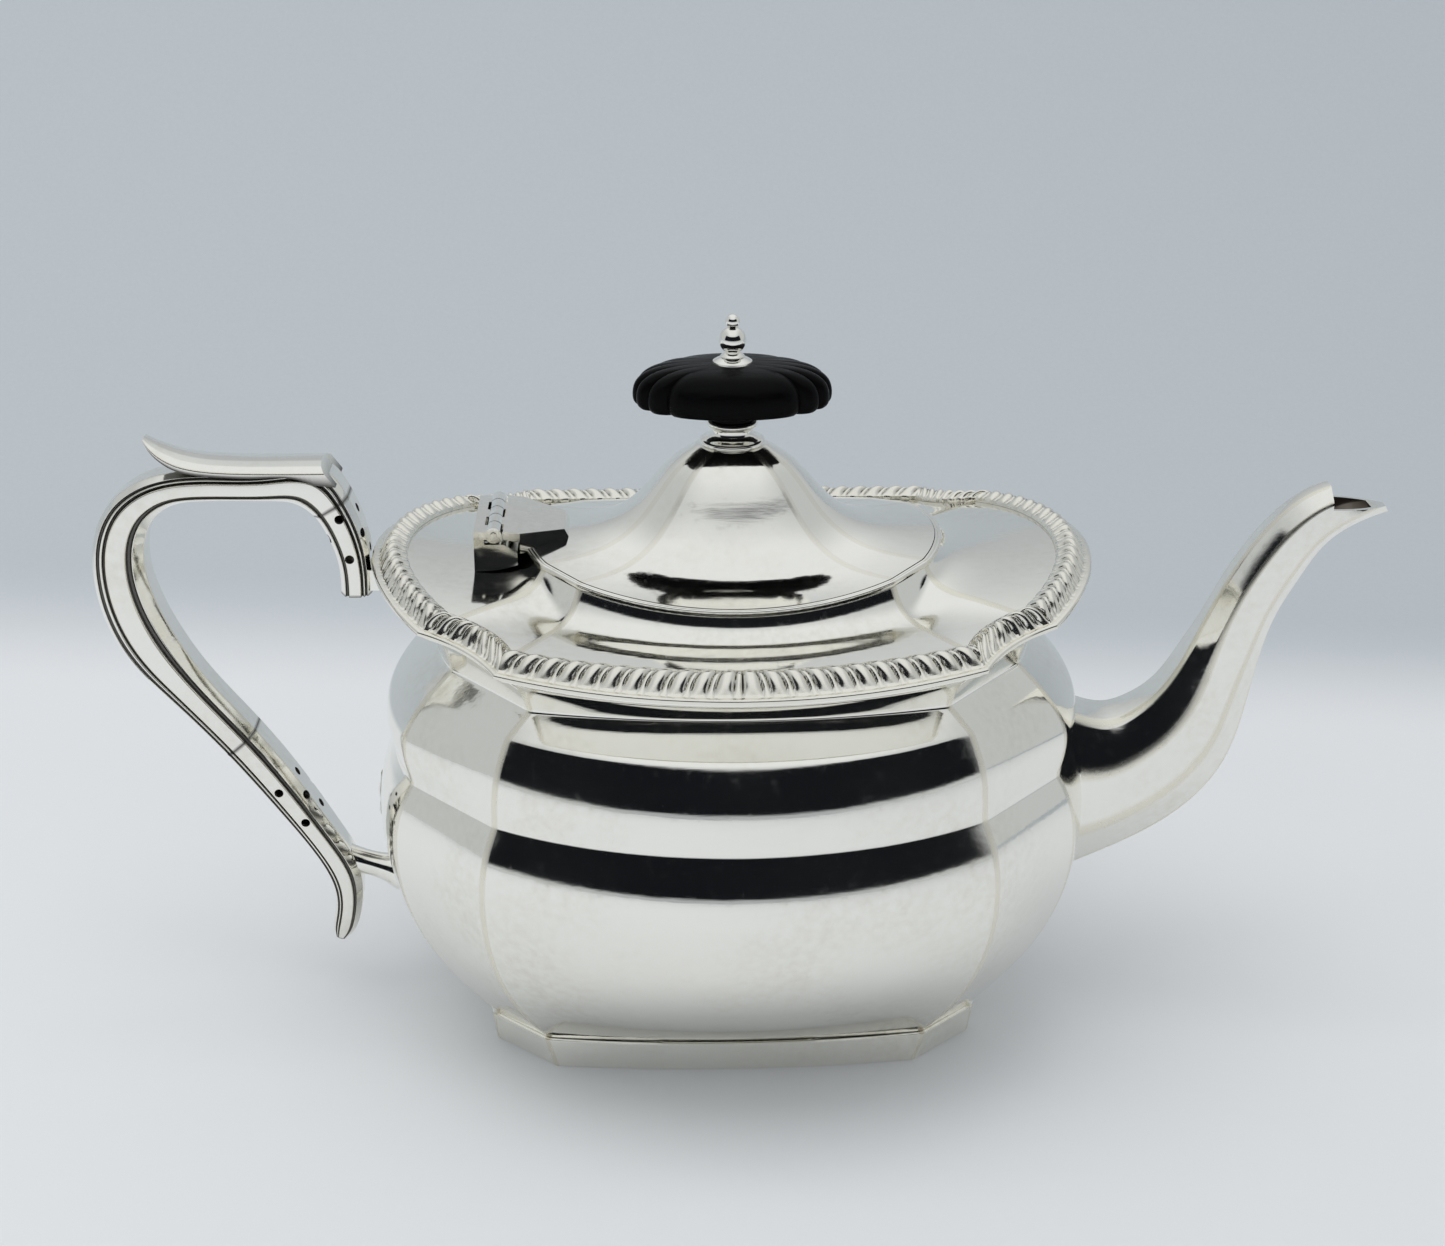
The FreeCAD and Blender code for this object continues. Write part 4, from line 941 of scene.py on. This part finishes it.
handle_section, handle_wear, handle_grime = softened(both_sides(HANDLE_EDGE), HANDLE_CORNER)
handle_stations = stations_along(HANDLE, BELLY_END, -1)
handle_line = denser(handle_stations, END * FINE + 1)
middles = (handle_line[0] + handle_line[1]) / 2
drawn = (handle_stations[0] + handle_stations[1]) / 2
nearest = [int(np.argmin(np.linalg.norm(middles - place, axis=1))) for place in drawn]
print("points round the handle:", len(handle_section))

# %% [markdown]
# Three lengths of it are soldered end to end: a hollow, vented one at each end and the grip between them.
# Old polish sits in the seams. Holes drilled through the end lengths let the heat out before it reaches
# the hand. All numbers of seams, vents and hollows count the stations of the list.

# %% Lengths and vents of the handle
UPPER_VENTS, UPPER_SEAM, LOWER_SEAM, LOWER_VENTS = 2, 3, 14, 15
HOLLOW_START, HOLLOW_STOP = 1, END - 2
HOLLOW_FACET, HOLLOW_CORNER, HANDLE_WALL = 0.55, 0.1, 1.2
VENT, VENT_PITCH, VENT_SIDES = 1.0, 4.6, 20
hollow_section, _, _ = softened(octagon(HOLLOW_FACET, HOLLOW_FACET), HOLLOW_CORNER)


def part_of_line(first, last):
    """Outer points, inner points and half widths of the line between two drawn stations."""
    return [values[nearest[first]:nearest[last] + 1] for values in handle_line]


def handle_length(name, first, last):
    """Length of handle between two drawn stations, with old polish in the seams at its ends."""
    rows = skin_along(*part_of_line(first, last), handle_section)
    dirt = np.tile(handle_grime, (len(rows), 1))
    dirt[[0, -1]] = 1
    return mesh_piece(name, rows, handle_wear, dirt, ends=True)


def hollow_length(first, last):
    """Tool for the hollow of a length of handle."""
    rows = skin_along(*part_of_line(first, last), hollow_section, HANDLE_WALL)
    return mesh_piece("hollow", rows, ends=True, stuff=stained_and_shaded)


def vents(station):
    """Drills round a station: two rows on the faces and one between them on the edges."""
    outer, inner, half_width = (values[station] for values in handle_stations)
    middle = (outer + inner) / 2
    through = (outer - inner) / np.linalg.norm(outer - inner)
    across = point(0, 1, 0)
    along = np.cross(through, across)
    reach = np.linalg.norm(outer - inner) + half_width
    drills = []
    for row in (-1, 0, 1):
        place = middle + along * row * VENT_PITCH
        axes = ((through + across), (through - across)) if row == 0 else (through, across)
        for axis in axes:
            axis = axis / np.linalg.norm(axis) * reach
            drills.append(rod(VENT, place - axis, place + axis, VENT_SIDES))
    return drills


upper_vent = handle_length("silver_handle_upper_vent", 0, UPPER_SEAM)
cut(upper_vent, *vents(UPPER_VENTS), hollow_length(HOLLOW_START, UPPER_SEAM))
grip = handle_length("silver_handle_grip", UPPER_SEAM, LOWER_SEAM)
lower_vent = handle_length("silver_handle_lower_vent", LOWER_SEAM, END)
cut(lower_vent, *vents(LOWER_VENTS), hollow_length(LOWER_SEAM, HOLLOW_STOP))
print("handle faces:", sum(len(p.data.polygons) for p in (upper_vent, grip, lower_vent)))

# %% [markdown]
# A strip lies on top of the handle for the thumb. Its top is crowned, its far end sweeps up into a spur,
# and its near end is cut off at a slant. Each row of the list is a place along the strip, the heights of
# its top and underside, and half its width. A black line is painted low on its sides, as the shade where
# the strip lies on the handle.

# %% Thumb strip
THUMB = (
    (-123.8, 136.2, 135.8, 2.2), (-122.6, 135.4, 134.0, 3.5), (-120.6, 134.3, 132.2, 4.7),
    (-117.4, 133.0, 130.4, 5.7), (-113.0, 131.9, 129.4, 6.3), (-107.0, 131.3, 128.9, 6.6),
    (-100.0, 131.1, 128.7, 6.75), (-92.0, 131.1, 128.5, 6.75), (-86.8, 131.1, 126.6, 6.75))
THUMB_DROP, THUMB_CORNER, THUMB_STEPS, THUMB_SLANT = 1.3, 0.35, 40, 0.72
THUMB_TOP = THUMB[-1][1]
CROWN_EDGE, CROWN_DROP, CROWN_FLAT = 0.7, 0.3, 0.25
thumb_rows = []
# The -1 on each lower corner paints a black line of shade along the strip's sides, where it lies on the
# handle.
for x, top, low, half in THUMB:
    drop = min(THUMB_DROP, 0.5 * (top - low))
    edge = ((half, low, -1), (half, top - drop, 1), (CROWN_EDGE * half, top - CROWN_DROP * drop, 0),
            (CROWN_FLAT * half, top, 0))
    section, thumb_wear, thumb_painted_shade = softened(both_sides(edge), THUMB_CORNER)
    thumb_rows.append(np.stack((np.full(len(section), x), section[:, 0], section[:, 1]), axis=1))
thumb_fine = spline(thumb_rows, np.linspace(0, 1, THUMB_STEPS))
thumb_fine[-1, :, 0] += (THUMB_TOP - thumb_fine[-1, :, 2]) * THUMB_SLANT
thumb = mesh_piece("silver_thumb_strip", thumb_fine, thumb_wear, thumb_painted_shade, ends=True)
print("thumb strip rows:", len(thumb_fine))

# %% [markdown]
# Low down, the handle stands on a cast leaf that spreads the load on the thin sheet. The leaf is a grid of
# points laid on the body: each place is found by looking from behind the pot straight at its end. It is
# then lifted by a rib and by veins, and thins out to the scalloped edge. The low places between the veins
# hold grime.

# %% Leaf at the lower joint
LEAF_LOW, LEAF_HIGH, LEAF_HALF, LEAF_TIP, LEAF_SHEET, LEAF_BITE = 28.0, 58.0, 8.0, 0.2, 1.6, 0.1
LEAF_ROWS, LEAF_COLUMNS, LEAF_VEINS = 70, 33, 6
SCALLOP, OUTLINE_POWER = 0.12, 0.7
TIP_SHARE, THIN_POWER = 0.15, 0.6
FLOOR_LIFT, RIB_LIFT, VEIN_LIFT = 0.25, 0.4, 0.35
RIB_WIDTH, VEIN_SWEEP, EDGE_FALL, EDGE_POWER, GRIME_FALL = 0.18, 0.12, 0.8, 6, 2.2
BEHIND = -200
bpy.context.view_layer.update()


def on_body(y, z):
    """Place on the body's handle end, and the direction straight out of it."""
    _, spot, out_of, _ = body.ray_cast(Vector((BEHIND, y, z)) * MILLIMETRE, Vector((1, 0, 0)))
    return np.array(spot) / MILLIMETRE, np.array(out_of)


leaf_rows, leaf_grime = [], []
for share in np.linspace(0, 1, LEAF_ROWS):
    full = math.sin(math.pi * share)
    scallop = 1 - SCALLOP + SCALLOP * abs(math.cos(math.pi * LEAF_VEINS * share))
    half = max(LEAF_HALF * full ** OUTLINE_POWER * scallop, LEAF_TIP)
    thin = TIP_SHARE + (1 - TIP_SHARE) * full ** THIN_POWER
    front_points, back_points, dirt = [], [], []
    for aside in np.linspace(-1, 1, LEAF_COLUMNS):
        spot, out_of = on_body(aside * half, LEAF_LOW + (LEAF_HIGH - LEAF_LOW) * share)
        rib = math.exp(-(aside / RIB_WIDTH) ** 2)
        vein = 0.5 + 0.5 * math.cos(2 * math.pi * LEAF_VEINS * (share - VEIN_SWEEP * abs(aside)))
        lift = FLOOR_LIFT + RIB_LIFT * rib + VEIN_LIFT * vein
        edge = 1 - EDGE_FALL * aside ** EDGE_POWER
        front_points.append(spot + out_of * LEAF_SHEET * lift * thin * edge)
        back_points.append(spot - out_of * LEAF_BITE)
        dirt.append(max(0, 1 - GRIME_FALL * (lift - FLOOR_LIFT)))
    leaf_rows.append(front_points + back_points[::-1])
    leaf_grime.append(dirt + [0] * LEAF_COLUMNS)
leaf = mesh_piece("silver_handle_leaf", leaf_rows, grime_and_shade=np.array(leaf_grime), ends=True)
print("leaf faces:", len(leaf.data.polygons))

# %% [markdown]
# A short tube joins the handle to the leaf. It has a waist and flares where it meets the leaf, so it is a
# row of circles with radii from a list. The last row is laid on the body, so that no gap shows.

# %% Tube at the lower joint
TUBE_RADII = ((0.0, 3.4), (0.2, 3.0), (0.45, 2.8), (0.7, 3.1), (0.86, 3.7), (1.0, 4.4))
TUBE_STEPS, TUBE_SIDES = 24, 40
tube_start, tube_stop = point(-87.6, 0, 36.4), point(-75.0, 0, 32.6)
tube_way = tube_stop - tube_start
tube_up = np.cross(tube_way / np.linalg.norm(tube_way), (0, 1, 0))
turns = np.linspace(0, 2 * math.pi, TUBE_SIDES, endpoint=False)
circle = np.outer(np.cos(turns), (0, 1, 0)) + np.outer(np.sin(turns), tube_up)
tube_rows = [tube_start + tube_way * share + circle * radius
             for share, radius in finer(TUBE_RADII, TUBE_STEPS)]
tube_rows.append(np.array([on_body(y, z)[0] for _, y, z in tube_rows[-1]]))
tube = mesh_piece("silver_handle_tube", tube_rows, ends=True)
print("tube faces:", len(tube.data.polygons))

# %% [markdown]
# The small fittings are simple enough to carry over as they are: the hinge, the lid's flange, the nut and
# its washer, the base plate and the upper stub. A bevel modifier eases their edges, because a truly sharp
# edge never catches light and looks drawn.

# %% Fittings carried over
FITTINGS = ("hinge_block", "hinge_knuckle_front", "hinge_knuckle_middle", "hinge_knuckle_back", "hinge_pin",
            "hinge_lid_leaf", "lid_bezel", "finial_nut", "finial_nut_washer", "base_plate",
            "handle_upper_stub")
# The base plate and the lid's flange wear the inside's tea stain with its painted shade.
STAINED_SHADED_FITTINGS = ("base_plate", "lid_bezel")
EASED_EDGE, EASED_STEPS, EASED_FROM = 0.25, 2, 35
for name in FITTINGS:
    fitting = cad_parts[name]
    eased = fitting.modifiers.new("eased edges", "BEVEL")
    eased.width = EASED_EDGE * MILLIMETRE
    eased.segments = EASED_STEPS
    eased.limit_method = "ANGLE"
    eased.angle_limit = math.radians(EASED_FROM)
    fitting.data.materials.clear()
    fitting.data.materials.append(stained_and_shaded if name in STAINED_SHADED_FITTINGS else silver)
print("fittings carried over:", len(FITTINGS))

# %% [markdown]
# Each new piece rides on the body it belongs to, so that the lid's pieces swing with the hinge, and it
# stands in for the solid of the same part. The third name of each row says which of the two stuffs it
# is made of.

# %% Put the pieces on their bodies
PIECES = (
    (body, "pot", "silver", "body_shell"), (foot, "pot", "silver", "foot_ring"),
    (shoulder, "pot", "silver", "shoulder_plate"), (border, "pot", "silver", "gadroon_border"),
    (spout, "pot", "silver", "spout"), (upper_vent, "pot", "silver", "handle_upper_vent"),
    (grip, "pot", "silver", "handle_grip"), (lower_vent, "pot", "silver", "handle_lower_vent"),
    (thumb, "pot", "silver", "handle_thumb_plate"), (leaf, "pot", "silver", "handle_back_plate"),
    (tube, "pot", "silver", "handle_lower_stub"), (lid, "lid", "silver", "lid_shell"),
    (lid_wire, "lid", "silver", "lid_edge_wire"), (collar, "lid", "silver", "finial_base"),
    (knob, "lid", "knob", "knob"), (washer, "lid", "silver", "knob_washer"),
    (finial, "lid", "silver", "finial_bolt"))
for piece, rider, stuff, solid in PIECES:
    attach(piece, rider)
    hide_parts(solid)
print("pieces placed:", len(PIECES))

# %% [markdown]
# The pot stands on a pale table whose cloth runs back and curls up into the background, as in a
# photographer's sweep. One mesh makes both. The table's back edge is only a soft change of tone in the
# cloth's material, as it is out of focus behind the pot.

# %% Table and sweep
TABLE_HALF, TABLE_MIDDLE, CURL_START, CURL_RADIUS = 1.6, -0.5, 0.2, 0.4
CURL_TURNS = np.linspace(0.08, 1.35, 16)
EDGE_NEAR, EDGE_FAR, EDGE_SLANT = 0.16, 0.25, 0.12
TABLE_TONE, BACK_TONE = (0.90, 0.92, 0.93, 1), (0.58, 0.63, 0.66, 1)
FOLD_TONE, THREAD_TONE = (0.55, 0.6, 0.68, 1), (0.95, 0.95, 0.95, 1)
FOLD_SHARE, THREAD_SHARE = 0.12, 0.1
profile = [(-TABLE_HALF, 0.0), (TABLE_MIDDLE, 0.0), (CURL_START, 0.0)]
profile += [(CURL_START + CURL_RADIUS * math.sin(turn), CURL_RADIUS - CURL_RADIUS * math.cos(turn))
            for turn in CURL_TURNS]
sweep_mesh = bpy.data.meshes.new("table_sweep")
spots = [(x, y, z) for y, z in profile for x in (-TABLE_HALF, TABLE_HALF)]
bands = [(2 * i, 2 * i + 1, 2 * i + 3, 2 * i + 2) for i in range(len(profile) - 1)]
sweep_mesh.from_pydata(spots, [], bands)
sweep_mesh.shade_smooth()
sweep = bpy.data.objects.new("table_sweep", sweep_mesh)
scene.collection.objects.link(sweep)
cloth, tree = new_material("pale_cloth")
place = add(tree, "TexCoord").outputs["Object"]
weave = noise(tree, place, 700.0, 2.0)
folds = noise(tree, place, 7.0, 2.0)
spot = add(tree, "SeparateXYZ", {"Vector": place})
way_back = plus(tree, spot.outputs["Y"], times(tree, spot.outputs["X"], EDGE_SLANT))
tone = blend(tree, ramp(tree, way_back, EDGE_NEAR, EDGE_FAR), TABLE_TONE, BACK_TONE)
shade = blend(tree, times(tree, folds, FOLD_SHARE), tone, FOLD_TONE)
surface(tree, {
    "Base Color": blend(tree, times(tree, weave, THREAD_SHARE), shade, THREAD_TONE),
    "Roughness": ramp(tree, weave, 0.3, 0.7, 0.85, 0.95), "Specular IOR Level": 0.1})
sweep.data.materials.append(cloth)
print("sweep bands:", len(bands))

# %% [markdown]
# Polished metal shows the room more than itself, so the room has to be right. The world holds it: bright
# diffusers overhead, greyer walls at the sides, and a dark room behind the camera, which makes the black
# bands on the front. The dark part is a band of directions, bounded by angles from straight sideways and
# from level. For everything that is not a mirror, the world is one soft level of light.

# %% Room
FORWARD_FROM, FORWARD_FULL = 16, 24
BAND_LOW, BAND_LOW_FULL, BAND_HIGH_FULL, BAND_HIGH = 0, 3, 34, 38
CEILING_FROM, CEILING_FULL = 10, 60
SIDE_FROM, SIDE_FULL = 0.3, 0.85
WALL_TONE, CEILING_TONE = (0.40, 0.42, 0.44, 1), (0.80, 0.82, 0.83, 1)
SIDE_TONE, DARK_TONE = (0.52, 0.54, 0.55, 1), (0.006, 0.007, 0.009, 1)
SOFT_TONE = (0.58, 0.59, 0.61, 1)
world = bpy.data.worlds.new("studio_room")
scene.world = world
world.use_nodes = True
tree = world.node_tree
tree.nodes.clear()
toward = add(tree, "TexCoord").outputs["Generated"]
parts = add(tree, "SeparateXYZ", {"Vector": toward})
up = parts.outputs["Z"]


def sine(degrees):
    return math.sin(math.radians(degrees))


level_way = add(tree, "VectorMath", {0: toward, 1: (1.0, 1.0, 0.0)}, operation="MULTIPLY").outputs[0]
level_way = add(tree, "VectorMath", {0: level_way}, operation="NORMALIZE").outputs[0]
back_way = add(tree, "SeparateXYZ", {"Vector": level_way}).outputs["Y"]
in_front = ramp(tree, back_way, -sine(FORWARD_FULL), -sine(FORWARD_FROM), 1.0, 0.0)
above_level = ramp(tree, up, sine(BAND_LOW), sine(BAND_LOW_FULL))
below_ceiling = ramp(tree, up, sine(BAND_HIGH_FULL), sine(BAND_HIGH), 1.0, 0.0)
dark_front = times(tree, in_front, times(tree, above_level, below_ceiling))
overhead = ramp(tree, up, sine(CEILING_FROM), sine(CEILING_FULL))
sideways = add(tree, "Math", {0: parts.outputs["X"]}, operation="ABSOLUTE").outputs[0]
walls = blend(tree, overhead, WALL_TONE, CEILING_TONE)
walls = blend(tree, ramp(tree, sideways, SIDE_FROM, SIDE_FULL), walls, SIDE_TONE)
room = blend(tree, dark_front, walls, DARK_TONE)
mirrored = add(tree, "LightPath").outputs["Is Glossy Ray"]
light = add(tree, "Background", {"Color": blend(tree, mirrored, SOFT_TONE, room), "Strength": 1.0})
result = add(tree, "OutputWorld")
tree.links.new(light.outputs[0], result.inputs["Surface"])
print("room nodes:", len(tree.nodes))

# %% [markdown]
# One broad lamp overhead gives the pot its soft shadow on the table. The metal doesn't show it as a mirror
# image, because the room's own diffusers are already in the world.

# %% Lamp
lamp = bpy.data.lights.new("overhead_diffuser", "AREA")
lamp.shape = "RECTANGLE"
lamp.size, lamp.size_y = 1.2, 0.9
lamp.energy = 5.6
lamp.color = (1.0, 0.99, 0.97)
diffuser = bpy.data.objects.new("overhead_diffuser", lamp)
diffuser.location = (-0.3, -0.2, 1.3)
diffuser.visible_glossy = False
scene.collection.objects.link(diffuser)
print("lamp over the pot:", diffuser.name)

# %% [markdown]
# The camera stands a little to the left of the pot's middle, half a metre away, and looks down on it. Its
# place, direction and lens come from fitting the pot's known corners to where they are in the photograph.

# %% Camera
AZIMUTH, ELEVATION, ROLL = (math.radians(angle) for angle in (-1.988, 22.004, 0.122))
CAMERA_PLACE = (-18.4, -473.1, 283.7)
LENS, SENSOR = 58.06, 36.0
forward = Vector((-math.sin(AZIMUTH) * math.cos(ELEVATION), math.cos(AZIMUTH) * math.cos(ELEVATION),
                  -math.sin(ELEVATION)))
level = Vector((math.cos(AZIMUTH), math.sin(AZIMUTH), 0))
upward = level.cross(forward)
right = math.cos(ROLL) * level + math.sin(ROLL) * upward
top = -math.sin(ROLL) * level + math.cos(ROLL) * upward
camera_data = bpy.data.cameras.new("camera")
camera_data.lens = LENS
camera_data.sensor_width = SENSOR
camera = bpy.data.objects.new("camera", camera_data)
turned_to = Matrix((right, top, -forward)).transposed().to_4x4()
camera.matrix_world = Matrix.Translation(Vector(CAMERA_PLACE) * MILLIMETRE) @ turned_to
scene.collection.objects.link(camera)
scene.camera = camera
scene.view_settings.view_transform = "Standard"
print("camera at", [round(value, 4) for value in camera.location])
